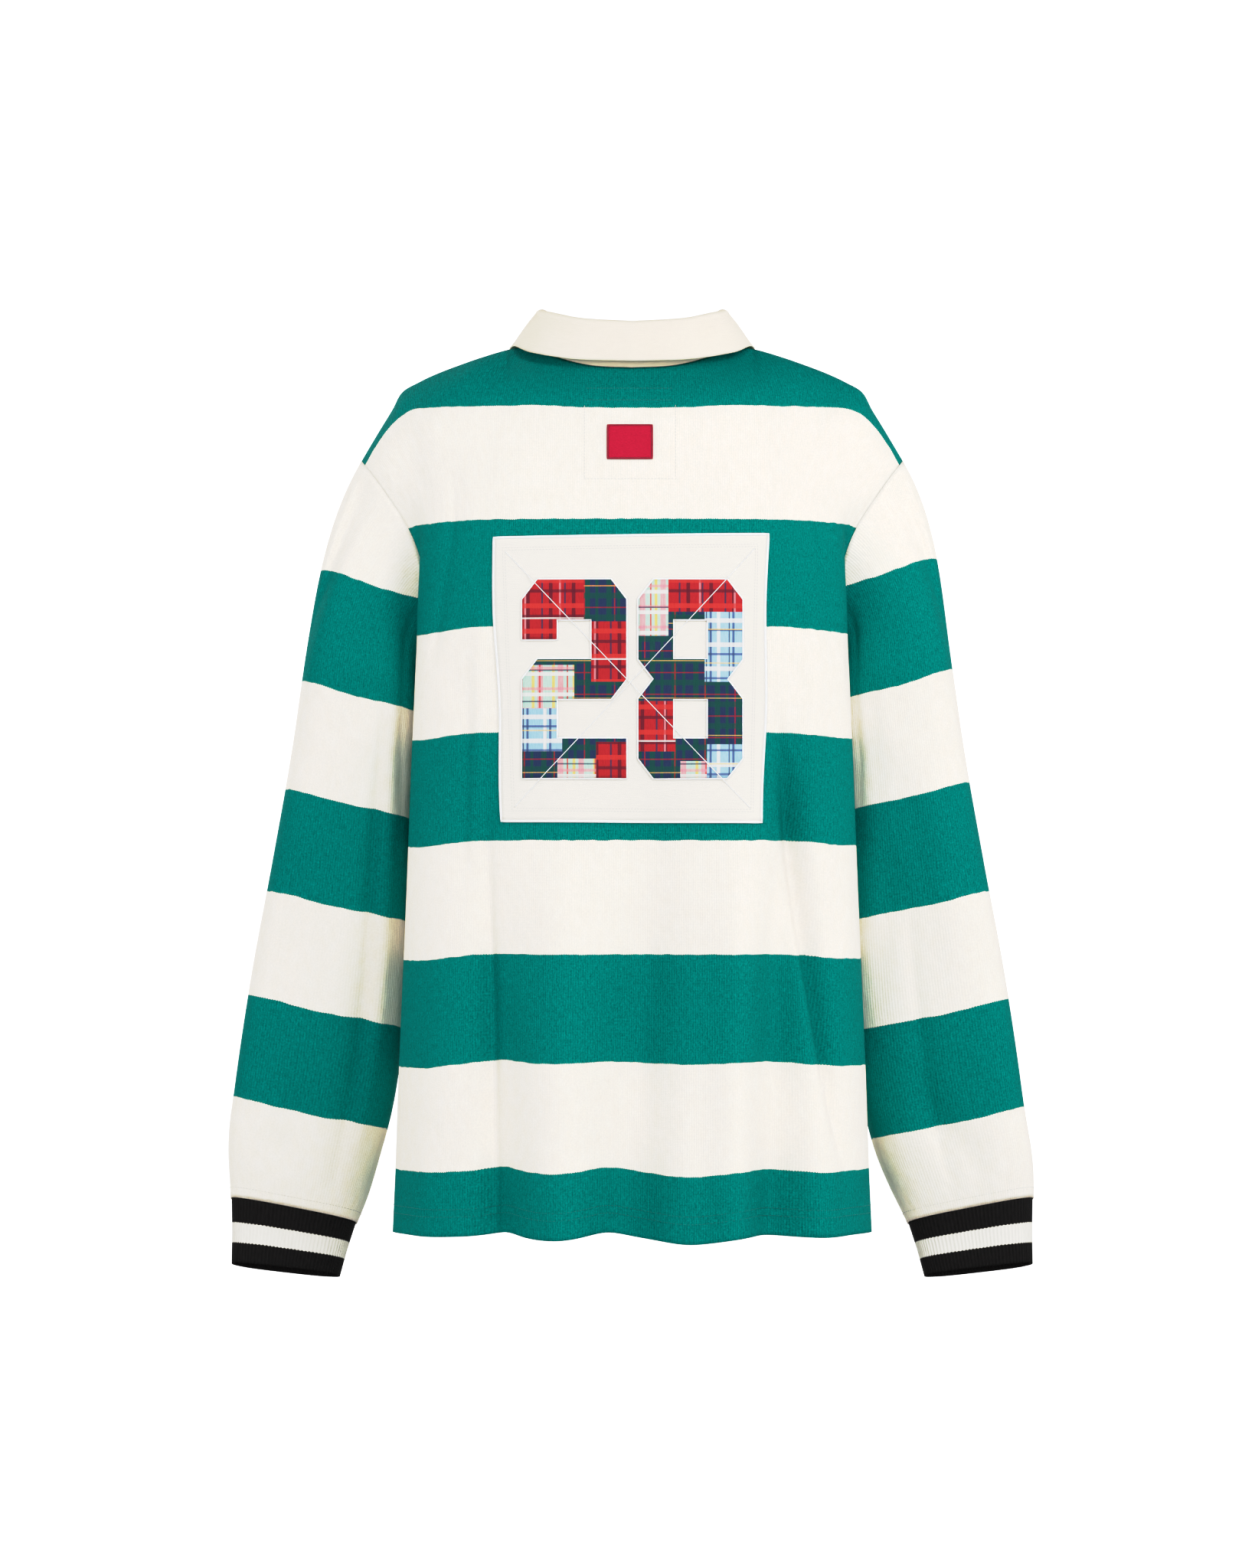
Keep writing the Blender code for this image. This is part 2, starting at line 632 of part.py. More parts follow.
def collar(foot):
    """The outside face of the stand, and the upper and under faces of the leaf. The rows of
    the collar's table are evenly spaced along the neck edge."""
    share = along(foot) / along(foot)[-1]
    table = np.array(COLLAR, float)
    lines = smooth(np.linspace(0.0, 1.0, len(table)), table, share)
    roll, edge = lines[:, :3], lines[:, 3:]
    foot = foot + unit(roll - foot) * SEAM_GAP
    stand = np.array([foot + (roll - foot) * t for t in np.linspace(0.0, 1.0, STAND_ROWS + 1)])

    ahead = unit(np.gradient(roll, axis=0))
    rise = unit(roll - foot)
    outward = unit(np.cross(ahead, rise))
    outward *= np.sign(np.sum(outward * (edge - foot), axis=1))[:, None]
    centre = roll + outward * (ROLL - TWILL) + rise * SEAM_GAP
    faces = []
    for radius in (ROLL, ROLL - TWILL):
        turned = [
            centre + radius * (math.sin(a) * rise - math.cos(a) * outward)
            for a in np.linspace(0.0, math.pi, ROLL_STEPS + 1)
        ]
        hang = turned[-1]
        under = 0.0 if radius == ROLL else TWILL
        down = unit(edge - hang)
        inward = unit(np.cross(ahead, down))
        inward *= -np.sign(np.sum(inward * outward, axis=1))[:, None]
        goal = edge + inward * under
        turned += [hang + (goal - hang) * t for t in np.linspace(0, 1, LEAF_ROWS + 1)[1:]]
        faces.append(both_halves(np.array(turned)))
    return both_halves(stand), faces[0], faces[1]


# ---------------------------------------------------------------- the pieces

# A cell of a chart: # is full, . is empty, and the others lack one corner.
CUT_CORNER = {"#": FULL, ".": EMPTY, "L": 0, "R": 1, "T": 2, "F": 3}
# The figures, seen from behind. L and R lack a lower corner and F and T an upper one, at the
# left and right as the wearer has them.
FIGURES = {
    "figure_left": (
        "T####F",
        "######",
        "##..##",
        "....##",
        "T#####",
        "#####L",
        "##....",
        "##....",
        "######",
        "######",
    ),
    "figure_right": (
        "T####F",
        "######",
        "##..##",
        "##..##",
        "R####L",
        "T####F",
        "##..##",
        "##..##",
        "######",
        "R####L",
    ),
}


def on_panel(grid, normals, rows, cols, start, thick):
    """The two faces of a piece that lies on a panel, from the panel's own points."""
    part, away = grid[rows, cols], normals[rows, cols]
    return part + away * (start + thick), part + away * start


def figure_chart(name):
    """A figure's cells by row from its foot and column from the wearer's right."""
    lines = FIGURES[name][::-1]
    return lambda i, j: CUT_CORNER[lines[i][::-1][j]]


def neck_points(marks):
    """The columns of both neck points in a panel, and the step from each to the shoulder."""
    middle, out = len(marks) - 1, marks.index(NECK_COLUMN)
    return ((middle - out, -1), (middle + out, 1))


def body_pieces(knit):
    """Back, front and sleeves, and the back's and front's grids with their normals."""
    back = panel(True, BACK_COLUMNS, BACK_LEVELS, BACK_YOKE)
    front = panel(False, FRONT_COLUMNS, FRONT_LEVELS, FRONT_YOKE)
    grids = {"back": back, "front": front}
    cuffs = {}
    for name, side in (("left", 1), ("right", -1)):
        loop, leaving, armpit = armhole_loop(back, front, side)
        grid, angles = sleeve(loop, leaving, armpit, side * SWAY)
        grids["sleeve_" + name] = grid * (side, 1, 1)
        cuffs[name] = arm_tube(CUFF_RINGS, CUFF_ROWS, angles) * (side, 1, 1)
    corners = {"back": neck_points(BACK_COLUMNS), "front": neck_points(FRONT_COLUMNS)}
    normals = {
        "back": grid_normals(back, neck_points=corners["back"]),
        "front": grid_normals(front, flip=True, neck_points=corners["front"]),
        "sleeve_left": grid_normals(grids["sleeve_left"], closed=True),
        "sleeve_right": grid_normals(grids["sleeve_right"], closed=True, flip=True),
    }
    mitre_seams([(grids[name], normals[name]) for name in grids])
    for name in grids:
        tube = name.startswith("sleeve")
        sewn = ("foot", "top") if tube else ("top", "ends")
        face = trimmed(grids[name], sewn, corners.get(name, ()))
        cloth_wall(name, face, face - normals[name] * JERSEY, knit, closed=tube)
    return grids, normals, cuffs


def cuff_pieces(cuffs, rib):
    for name, grid in cuffs.items():
        normals = grid_normals(grid, closed=True, flip=name == "right")
        cloth_wall("cuff_" + name, grid, grid - normals * RIB, rib, closed=True)


def collar_pieces(back, front, twill):
    stand, upper, under = collar(neck_edge(back, front))
    normals = grid_normals(stand)
    cloth_wall("collar_stand", stand, stand - normals * TWILL, twill)
    cloth_wall("collar_leaf", upper, under, twill)


def placket_pieces(front, normals, twill, rubber):
    middle = front.shape[1] // 2
    rows = slice(len(front) - 1 - PLACKET_ROWS, len(front))
    cols = slice(middle - 1, middle + 2)
    upper, under = on_panel(front, normals, rows, cols, SEAM_GAP, TWILL)
    top_trim = trimmed(upper, ("top",)) - upper
    cloth_wall("placket", upper + top_trim, under + top_trim, twill)
    line = upper[::-1, 1]
    facing = normals[rows, cols][::-1, 1]
    far = along(line)
    for number, drop in enumerate(BUTTON_DROPS, start=1):
        spot = read_at(line, [drop])[0]
        out = unit(np.array([np.interp(drop, far, facing[:, k]) for k in range(3)]))
        turn = Vector(out).to_track_quat("Z", "Y").to_matrix().to_4x4()
        seat = Vector(spot + out * (BUTTON_THICK / 2 + 2 * SEAM_GAP))
        mesh = bmesh.new()
        bmesh.ops.create_cone(
            mesh,
            cap_ends=True,
            segments=BUTTON_SIDES,
            radius1=BUTTON_RADIUS,
            radius2=BUTTON_TOP_RADIUS,
            depth=BUTTON_THICK,
            matrix=Matrix.Translation(seat) @ turn,
        )
        add_piece("button_%d" % number, mesh, rubber)


def picked(places, least, most):
    """The run of places from least to most."""
    inside = [n for n, place in enumerate(places) if least - CLOSE <= place <= most + CLOSE]
    return slice(inside[0], inside[-1] + 1)


def number_pieces(back, normals, patch_cloth, plaid, red):
    """The patch, the figures on it, and the label above."""
    places = [-mark for mark in BACK_COLUMNS[:0:-1]] + list(BACK_COLUMNS)
    rows = picked(BACK_LEVELS, PATCH_FOOT, PATCH_TOP)
    cols = picked(places, -PATCH_HALF, PATCH_HALF)
    patch = on_panel(back, normals, rows, cols, SEAM_GAP, PATCH_CLOTH)
    cloth_wall("number_patch", *patch, patch_cloth)

    rows = picked(BACK_LEVELS, FIGURE_FOOT, FIGURE_FOOT + FIGURE_ROWS * FIGURE_ROW)
    lift = 2 * SEAM_GAP + PATCH_CLOTH
    near, far = FIGURE_COLUMNS[0], FIGURE_COLUMNS[-1]
    for name, least, most in (("figure_left", near, far), ("figure_right", -far, -near)):
        faces = on_panel(back, normals, rows, picked(places, least, most), lift, PATCH_CLOTH)
        cloth_wall(name, *faces, plaid, chart=figure_chart(name))

    foot = len(BACK_LEVELS) + LABEL_YOKE_ROW
    cols = picked(places, -LABEL_HALF, LABEL_HALF)
    label = on_panel(back, normals, slice(foot, foot + 2), cols, SEAM_GAP, PATCH_CLOTH)
    cloth_wall("label", *label, red)


def main():
    knit = finish("striped_jersey", (0.93, 0.89, 0.83), 0.85)
    rib = finish("cuff_rib", (0.02, 0.02, 0.02), 0.85)
    twill = finish("collar_twill", (0.92, 0.86, 0.78), 0.8)
    patch_cloth = finish("patch_twill", (0.88, 0.88, 0.83), 0.8)
    plaid = finish("figure_plaid", (0.45, 0.12, 0.14), 0.8)
    red = finish("label_red", (0.60, 0.04, 0.09), 0.7)
    rubber = finish("button_rubber", (0.85, 0.82, 0.75), 0.5)

    grids, normals, cuffs = body_pieces(knit)
    cuff_pieces(cuffs, rib)
    collar_pieces(grids["back"], grids["front"], twill)
    placket_pieces(grids["front"], normals["front"], twill, rubber)
    number_pieces(grids["back"], normals["back"], patch_cloth, plaid, red)


for old in list(bpy.data.objects):
    bpy.data.objects.remove(old, do_unlink=True)
shirt = bpy.data.collections.new("rugby_shirt")
bpy.context.scene.collection.children.link(shirt)
main()
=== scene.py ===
"""Rugby shirt: its cloth, sewing and finishes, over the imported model.

Metres, +Z up. The shirt faces -Y and the wearer's left is +X. Each cloth piece is a fine grid
of points on its outside face, from the same tables of sections as the solids, and carries a
UV map called "cloth" in metres on the flat cut piece. On the back and front, u is the distance
from the centre, + to the wearer's left, and v the height above the hem. On a sleeve or cuff, u
runs round it and v up it from the wrist.
"""

import math
from collections import namedtuple

import bpy
import numpy as np
from mathutils import Matrix, Vector


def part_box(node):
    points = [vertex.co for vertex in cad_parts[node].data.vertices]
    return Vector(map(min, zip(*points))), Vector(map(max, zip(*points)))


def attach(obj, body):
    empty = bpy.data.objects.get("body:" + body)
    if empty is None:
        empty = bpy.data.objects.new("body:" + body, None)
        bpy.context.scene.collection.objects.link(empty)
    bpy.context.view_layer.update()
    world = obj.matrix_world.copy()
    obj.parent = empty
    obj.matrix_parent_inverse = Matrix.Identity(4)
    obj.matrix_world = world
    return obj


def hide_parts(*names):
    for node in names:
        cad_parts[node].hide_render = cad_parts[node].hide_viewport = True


bl_info = {
    "name": "Rugby Shirt",
    "version": (1, 0, 0),
    "blender": (4, 5, 0),
    "location": "View3D > Sidebar > Shirt",
    "description": "Builds a hooped rugby shirt: knit, collar, cuffs, number and sewing",
    "category": "Add Mesh",
}

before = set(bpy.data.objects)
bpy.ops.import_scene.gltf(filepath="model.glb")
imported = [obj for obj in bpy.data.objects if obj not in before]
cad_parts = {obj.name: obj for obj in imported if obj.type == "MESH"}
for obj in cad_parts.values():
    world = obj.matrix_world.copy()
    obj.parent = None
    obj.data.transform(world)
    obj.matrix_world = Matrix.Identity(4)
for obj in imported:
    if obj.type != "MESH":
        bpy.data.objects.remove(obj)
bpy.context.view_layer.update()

# ---------------------------------------------------------------- sizes of the cut pieces
LENGTH = 0.7515  # neck point of the shoulder down to the hem
PATCH_HALF = 0.1153  # the columns of a panel keep their place up to here
FIGURE_FOOT = 0.3819
FIGURE_ROW = 0.0165
FIGURE_ROWS = 10
FIGURE_COLUMNS = (0.0051, 0.0178, 0.0338, 0.0482, 0.0627, 0.0787, 0.0915)
ARMPIT = FIGURE_FOOT + 6 * FIGURE_ROW
NECK_COLUMN = 0.1045
SIDE_COLUMN = PATCH_HALF + 0.16
PLACKET_HALF = 0.0175
PLACKET_LENGTH = 0.1600
SEAM_GAP = 0.0003  # between two pieces that meet
LABEL_LEFT, LABEL_RIGHT = 0.0205, -0.0165
LABEL_FOOT, LABEL_TOP = 0.6485, 0.6755
SLEEVE_GIRTH = 0.345  # round the flat cut of a sleeve, as its u counts it
CUFF_GIRTH = 0.245

RIB = 0.0022  # walls of the cloth
TWILL = 0.0014
PATCH_CLOTH = 0.0010
FINE_CLOTH = 0.0009  # figures and label
PLACKET_LIFT = 0.0017  # from the outside of a panel to the outside of what lies on it
PATCH_LIFT = 0.0013
FIGURE_LIFT = 0.0023
LABEL_LIFT = 0.0012
HAIR = 0.0001  # what sinks an edge into its piece, or lifts stitches off it

# Heights where one colour gives way to the other, from the hem or the wrist up.
HOOPS = (0.055, 0.145, 0.235, 0.330, 0.420, 0.508, 0.598, 0.695)
LEFT_HOOPS = (0.084, 0.173, 0.264, 0.3525, 0.444, 0.538)
RIGHT_HOOPS = (0.075, 0.1695, 0.264, 0.3585, 0.453, 0.5475)
HOOP_DROP = 20.0  # how fast the hoops fall over the shoulder, and from where
HOOP_DROP_FROM = 0.178
SIDE_DROOP = (1.7, 1.2)  # how fast they droop past the patch's edge, on the left and the right
SIDE_DROOP_END = 0.057  # they droop no more this far past it
SHOULDER_DROP_LOW = -0.27  # z above which the hoops fall over the shoulder
SIDE_DROOP_TOP = -0.10  # z below which they droop, and how far up from the hem that starts
SIDE_DROOP_FOOT = 0.15
HOOP_EASE = 0.12  # how far up each of these takes to set in
NECK_RISE = 0.05  # depth of the yoke below the neck where the hoops follow the neck edge
SLEEVE_HOOP_BOW = 0.0030  # how far a sleeve's hoops bow round it
SLEEVE_BOW_FOOT = 0.06  # height above the wrist where they are bowed in full
SLEEVE_HOOP_RISE = 0.0045  # how far they rise at the outer edge, next to the shoulder
SLEEVE_RISE_EASE = 0.05  # how far up that takes to set in, about the level of the armpit
CUFF_BANDS = (0.0158, 0.0318)  # heights where the cuff's light band starts and ends

# ---------------------------------------------------------------- sections of the body
# Rings below the armpit. width: the widest the back reaches, fold_y: how far behind the side
# seam it does so, side: the side seam, back and front: depth at the centre.
Ring = namedtuple("Ring", "z width fold_y side back front")
RINGS = (
    Ring(-0.7515, 0.2025, 0.020, 0.2010, 0.138, 0.132),
    Ring(-0.6950, 0.2000, 0.022, 0.1975, 0.134, 0.130),
    Ring(-0.6100, 0.1970, 0.026, 0.1930, 0.127, 0.124),
    Ring(-0.5200, 0.1930, 0.032, 0.1870, 0.121, 0.120),
    Ring(-0.4270, 0.1890, 0.040, 0.1795, 0.117, 0.121),
    Ring(-0.3400, 0.1855, 0.046, 0.1740, 0.118, 0.126),
)
# Rows from the armpit to the shoulder, +X half. fold_*: where the cloth turns towards the arm,
# turn: how far it has turned there in degrees, end_*: on the armhole seam, heading: its
# direction there, from +X.
Yoke = namedtuple("Yoke", "z centre_y fold_x fold_y fold_z turn end_x end_y end_z heading")
BACK_YOKES = (
    Yoke(-0.2706, 0.122, 0.1822, 0.052, -0.2706, 90, 0.1680, 0.000, -0.2706, -90),
    Yoke(-0.2300, 0.123, 0.1808, 0.058, -0.2300, 90, 0.1710, 0.022, -0.2370, -95),
    Yoke(-0.1900, 0.122, 0.1788, 0.063, -0.1900, 88, 0.1745, 0.037, -0.2020, -85),
    Yoke(-0.1500, 0.118, 0.1770, 0.066, -0.1500, 78, 0.1850, 0.046, -0.1660, -50),
    Yoke(-0.1080, 0.108, 0.1750, 0.062, -0.1080, 62, 0.2090, 0.037, -0.1270, -45),
    Yoke(-0.0530, 0.084, 0.1720, 0.044, -0.0520, 50, 0.2262, 0.016, -0.1035, -60),
)
FRONT_YOKES = (
    Yoke(-0.2706, -0.131, 0.1710, -0.040, -0.2706, 90, 0.1680, 0.000, -0.2706, 90),
    Yoke(-0.2300, -0.130, 0.1735, -0.050, -0.2300, 90, 0.1700, -0.022, -0.2370, 95),
    Yoke(-0.1900, -0.125, 0.1755, -0.058, -0.1900, 88, 0.1730, -0.037, -0.2020, 85),
    Yoke(-0.1640, -0.118, 0.1760, -0.062, -0.1500, 78, 0.1840, -0.046, -0.1660, 50),
    Yoke(-0.1360, -0.106, 0.1755, -0.060, -0.1080, 62, 0.2085, -0.038, -0.1270, 45),
    Yoke(-0.1020, -0.089, 0.1720, -0.044, -0.0530, 50, 0.2262, -0.019, -0.1035, 60),
)
# The neck edge from its centre to the shoulder, then the shoulder seam out to the sleeve.
Point = namedtuple("Point", "x y z")
NECK_POINT = Point(0.083, 0.002, 0.000)
BACK_NECK = (
    Point(0.000, 0.0500, -0.0226),
    Point(0.034, 0.0455, -0.0205),
    Point(0.064, 0.0290, -0.0120),
    NECK_POINT,
)
FRONT_NECK = (
    Point(0.000, -0.0660, -0.0700),
    Point(0.032, -0.0620, -0.0600),
    Point(0.060, -0.0440, -0.0350),
    Point(0.078, -0.0200, -0.0100),
    NECK_POINT,
)
SHOULDER = (
    NECK_POINT,
    Point(0.1010, 0.001, -0.0030),
    Point(0.1420, 0.000, -0.0155),
    Point(0.1810, -0.001, -0.0315),
    Point(0.1955, -0.002, -0.0400),
    Point(0.2035, -0.002, -0.0545),
    Point(0.2130, -0.002, -0.0700),
    Point(0.2300, -0.002, -0.0985),
)

# Soft folds that hang in the body, as in the solids. foot and head: u at the hem and where the
# fold dies out, top: the height of that, half: half its width, depth: + outwards, rise: how far
# it lifts the cloth at the hem.
Fold = namedtuple("Fold", "foot head top half depth rise")
BACK_FOLDS = (
    Fold(0.175, 0.150, 0.46, 0.036, 0.005, -0.0010),
    Fold(0.112, 0.110, 0.42, 0.026, -0.014, 0.0035),
    Fold(0.064, 0.075, 0.33, 0.036, 0.007, -0.0020),
    Fold(0.022, 0.020, 0.26, 0.028, -0.006, 0.0040),
    Fold(-0.048, -0.040, 0.30, 0.044, 0.007, -0.0055),
    Fold(-0.116, -0.106, 0.40, 0.032, -0.008, 0.0010),
    Fold(-0.165, -0.135, 0.42, 0.036, 0.006, -0.0015),
)
FRONT_FOLDS = (
    Fold(0.170, 0.140, 0.44, 0.040, 0.006, -0.0015),
    Fold(0.112, 0.120, 0.40, 0.032, -0.010, 0.0030),
    Fold(0.055, 0.065, 0.30, 0.040, 0.007, -0.0030),
    Fold(-0.010, 0.000, 0.24, 0.036, -0.007, 0.0035),
    Fold(-0.070, -0.075, 0.34, 0.042, 0.007, -0.0040),
    Fold(-0.128, -0.118, 0.40, 0.032, -0.010, 0.0025),
    Fold(-0.175, -0.150, 0.40, 0.034, 0.005, -0.0010),
)
NEAR_FOLD = 0.9  # from this share of the way to its fold, a row counts its height up the armhole
BACK_FLAT = 1.15  # 1 is an oval, and more is flatter in the middle
LEVEL_OFF = 0.05  # past the neck, the cloth turns level at the shoulder seam over this far
FOLD_END = 0.045  # the folds fade out over this distance from the side seam

# Smaller creases: from and to in u and v, half their width, depth, + outwards, and whether they
# come to an edge.
Crease = namedtuple("Crease", "u0 v0 u1 v1 half depth sharp", defaults=(False,))
BACK_CREASES = (
    Crease(0.124, -0.250, 0.124, 0.440, 0.015, -0.0180, True),
    Crease(0.054, -0.250, 0.062, 0.420, 0.034, 0.0105),
    Crease(0.150, 0.250, 0.136, 0.500, 0.009, -0.0040, True),
    Crease(0.132, 0.280, 0.130, 0.560, 0.013, 0.0035),
    Crease(0.010, -0.250, -0.017, 0.420, 0.042, -0.0210),
    Crease(-0.080, -0.250, -0.090, 0.420, 0.030, 0.0135),
    Crease(-0.126, -0.250, -0.134, 0.440, 0.030, -0.0170),
    Crease(-0.196, 0.020, -0.118, 0.465, 0.016, -0.0270, True),
    Crease(-0.064, -0.180, -0.058, 0.200, 0.018, -0.0030),
    Crease(-0.156, 0.300, -0.160, 0.580, 0.014, 0.0030),
    Crease(-0.188, 0.440, -0.172, 0.660, 0.010, -0.0030, True),
    Crease(0.182, 0.440, 0.172, 0.660, 0.012, -0.0040, True),
)
FRONT_CREASES = (
    Crease(0.140, 0.300, 0.130, 0.560, 0.013, 0.0014),
    Crease(-0.130, 0.320, -0.124, 0.540, 0.014, -0.0018),
    Crease(-0.160, 0.260, -0.150, 0.520, 0.012, 0.0014),
    Crease(0.030, 0.250, 0.070, 0.430, 0.016, -0.0018),
    Crease(-0.040, 0.230, -0.080, 0.460, 0.015, 0.0016),
    Crease(0.150, 0.040, 0.140, 0.250, 0.012, -0.0014),
)

# Rings of the sleeve on the +X side. x, y, z: centre, across and deep: half its breadth and
# half its depth, tilt: degrees that its outer edge is raised.
Sleeve = namedtuple("Sleeve", "x y z across deep tilt")
SLEEVE_RINGS = (
    Sleeve(0.2265, -0.010, -0.295, 0.0515, 0.052, 15.0),
    Sleeve(0.2335, -0.020, -0.355, 0.0535, 0.050, 14.0),
    Sleeve(0.2445, -0.036, -0.451, 0.0600, 0.046, 12.5),
    Sleeve(0.2565, -0.053, -0.552, 0.0674, 0.041, 12.0),
    Sleeve(0.2713, -0.069, -0.648, 0.0678, 0.036, 12.0),
    Sleeve(0.2842, -0.079, -0.706, 0.0623, 0.031, 11.5),
    Sleeve(0.2910, -0.084, -0.739, 0.0553, 0.025, 11.0),
)
CUFF_RINGS = (
    Sleeve(0.2911, -0.0841, -0.7392, 0.0543, 0.024, 11.0),
    Sleeve(0.2946, -0.0875, -0.7640, 0.0502, 0.021, 9.0),
    Sleeve(0.2982, -0.0900, -0.7900, 0.0469, 0.020, 6.5),
)
RING_LEAN = math.radians(10)  # a ring's back edge is raised by this
ARM_SQUARE = 2.9  # 2 is an oval
UNDERARM = (0.75, 0.0, -0.66)  # the way the sleeve leaves the body at the armpit
SLEEVE_HEAD_ROWS = 28  # rows between the armhole seam and the first full ring
CUFF_ROWS = 26
SWAY = 0.0035  # the left sleeve hangs this much wider than drawn, the right this much closer
SWAY_END = 5 / 6  # share of the way down where the sway starts to fade
SLEEVE_CREASE_END = 0.03  # the sleeve's creases fade out this near the armhole and the cuff

# The line where the collar rolls over and its outer edge, from the centre back to its front end.
Collar = namedtuple("Collar", "roll_x roll_y roll_z edge_x edge_y edge_z")
COLLAR = (
    Collar(0.0000, 0.0425, 0.0106, 0.0000, 0.0585, -0.0180),
    Collar(0.0400, 0.0370, 0.0135, 0.0480, 0.0520, -0.0160),
    Collar(0.0680, 0.0190, 0.0205, 0.0850, 0.0330, -0.0090),
    Collar(0.0747, -0.0080, 0.0230, 0.1010, 0.0000, -0.0015),
    Collar(0.0650, -0.0330, 0.0080, 0.1030, -0.0400, -0.0120),
    Collar(0.0400, -0.0540, -0.0200, 0.0900, -0.0800, -0.0600),
    Collar(0.0035, -0.0645, -0.0425, 0.0580, -0.1045, -0.1080),
)
COLLAR_FRONT = 0.0015  # from the centre front to the collar's front end
ROLL = 0.0042  # radius of the roll's outside
COLLAR_BELLY = 0.0016  # how far the leaf stands off a straight fall

BUTTON_RADIUS = 0.0068
BUTTON_THICK = 0.0032
BUTTON_HOLE = 0.0013  # from the button's centre, both ways
TIE_ARCH = 0.0012  # height of the thread's arch over the button's middle
SLIT_HALF_WIDTH, SLIT_HALF_LENGTH = 0.0013, 0.0092  # of a buttonhole with its binding

# ---------------------------------------------------------------- curves and tables


def ease(t):
    """0 below 0 and 1 above 1, with a smooth climb between."""
    t = np.clip(t, 0.0, 1.0)
    return t * t * (3.0 - 2.0 * t)


def curve_to(start, leaving, end, arriving, t):
    """A smooth curve between two points, with its directions there."""
    return (
        (1 + 2 * t) * (1 - t) ** 2 * start
        + t * (1 - t) ** 2 * leaving
        + t * t * (3 - 2 * t) * end
        + t * t * (t - 1) * arriving
    )


def smooth(knots, values, at, last_slope=None):
    """The smooth curve through values at the knots, read at the places in `at`."""
    knots, at = np.asarray(knots, float), np.asarray(at, float)
    values = np.asarray(values, float).reshape(len(knots), -1)
    step = np.diff(knots)[:, None]
    secant = np.diff(values, axis=0) / step
    slope = np.empty_like(values)
    slope[0], slope[-1] = secant[0], secant[-1]
    slope[1:-1] = (step[1:] * secant[:-1] + step[:-1] * secant[1:]) / (step[1:] + step[:-1])
    if last_slope is not None:
        slope[-1] = last_slope
    k = np.clip(np.searchsorted(knots, at, side="right") - 1, 0, len(knots) - 2)
    h = step[k]
    t = ((at - knots[k])[:, None]) / h
    return curve_to(values[k], h * slope[k], values[k + 1], h * slope[k + 1], t)


def along(path):
    """Distance along a path of points, at each of them."""
    return np.concatenate([[0.0], np.cumsum(np.linalg.norm(np.diff(path, axis=0), axis=1))])


def along_columns(grid):
    """Distance down each column of a grid, at each of its points."""
    step = np.linalg.norm(np.diff(grid, axis=0), axis=2)
    return np.concatenate([0 * step[:1], np.cumsum(step, axis=0)])


def read_at(path, marks):
    """The points of a path at those distances along it."""
    far = along(path)
    return np.stack([np.interp(marks, far, path[:, k]) for k in range(path.shape[1])], axis=1)


def smooth_path(points, steps=120):
    far = along(points)
    return smooth(far, points, np.linspace(0.0, far[-1], steps))


def unit(v):
    return v / np.maximum(np.linalg.norm(v, axis=-1, keepdims=True), 1e-12)


def even(start, end, step):
    """Places from start to end, about a step apart."""
    return np.linspace(start, end, max(2, int(round(abs(end - start) / step)) + 1))


# ---------------------------------------------------------------- back and front


def bow(section, steps=60):
    """A row from the centre to the armhole or side seam."""
    turn = math.radians(section.turn)
    a = np.linspace(0.0, turn, steps)
    across = np.sin(a) / math.sin(turn)
    back = ((1 - np.cos(a)) / (1 - math.cos(turn))) ** BACK_FLAT
    arc = np.stack(
        [
            section.fold_x * across,
            section.centre_y + (section.fold_y - section.centre_y) * back,
            section.z + (section.fold_z - section.z) * ease(across),
        ],
        axis=1,
    )
    end = np.array([section.end_x, section.end_y, section.end_z])
    reach = np.linalg.norm(end - arc[-1])
    if reach < 1e-4:
        return arc
    leaving = unit(arc[-1] - arc[-2]) * reach
    heading = math.radians(section.heading)
    arriving = np.array([math.cos(heading), math.sin(heading), 0.0]) * reach
    t = np.linspace(0.0, 1.0, steps // 2)[1:, None]
    return np.concatenate([arc, curve_to(arc[-1], leaving, end, arriving, t)])


def low_section(ring, back):
    """A ring below the armpit, in the terms of a row above it."""
    side = (ring.side, 0.0, ring.z)
    if back:
        return Yoke(ring.z, ring.back, ring.width, ring.fold_y, ring.z, 90, *side, -90)
    return Yoke(ring.z, -ring.front, ring.side, 0.0, ring.z, 90, *side, 90)


def top_row(neck, marks):
    """The neck edge and the shoulder seam, met at the neck column."""
    neck_path = smooth_path(np.array(neck, float))
    seam_path = smooth_path(np.array(SHOULDER, float))
    on_neck = marks <= NECK_COLUMN + 1e-6
    on_edge = (0.0, PLACKET_HALF, along(neck_path)[-1])
    neck_marks = np.interp(marks[on_neck], (0.0, PLACKET_HALF, NECK_COLUMN), on_edge)
    share = (marks[~on_neck] - NECK_COLUMN) / (marks[-1] - NECK_COLUMN)
    return np.concatenate(
        [read_at(neck_path, neck_marks), read_at(seam_path, share * along(seam_path)[-1])]
    )


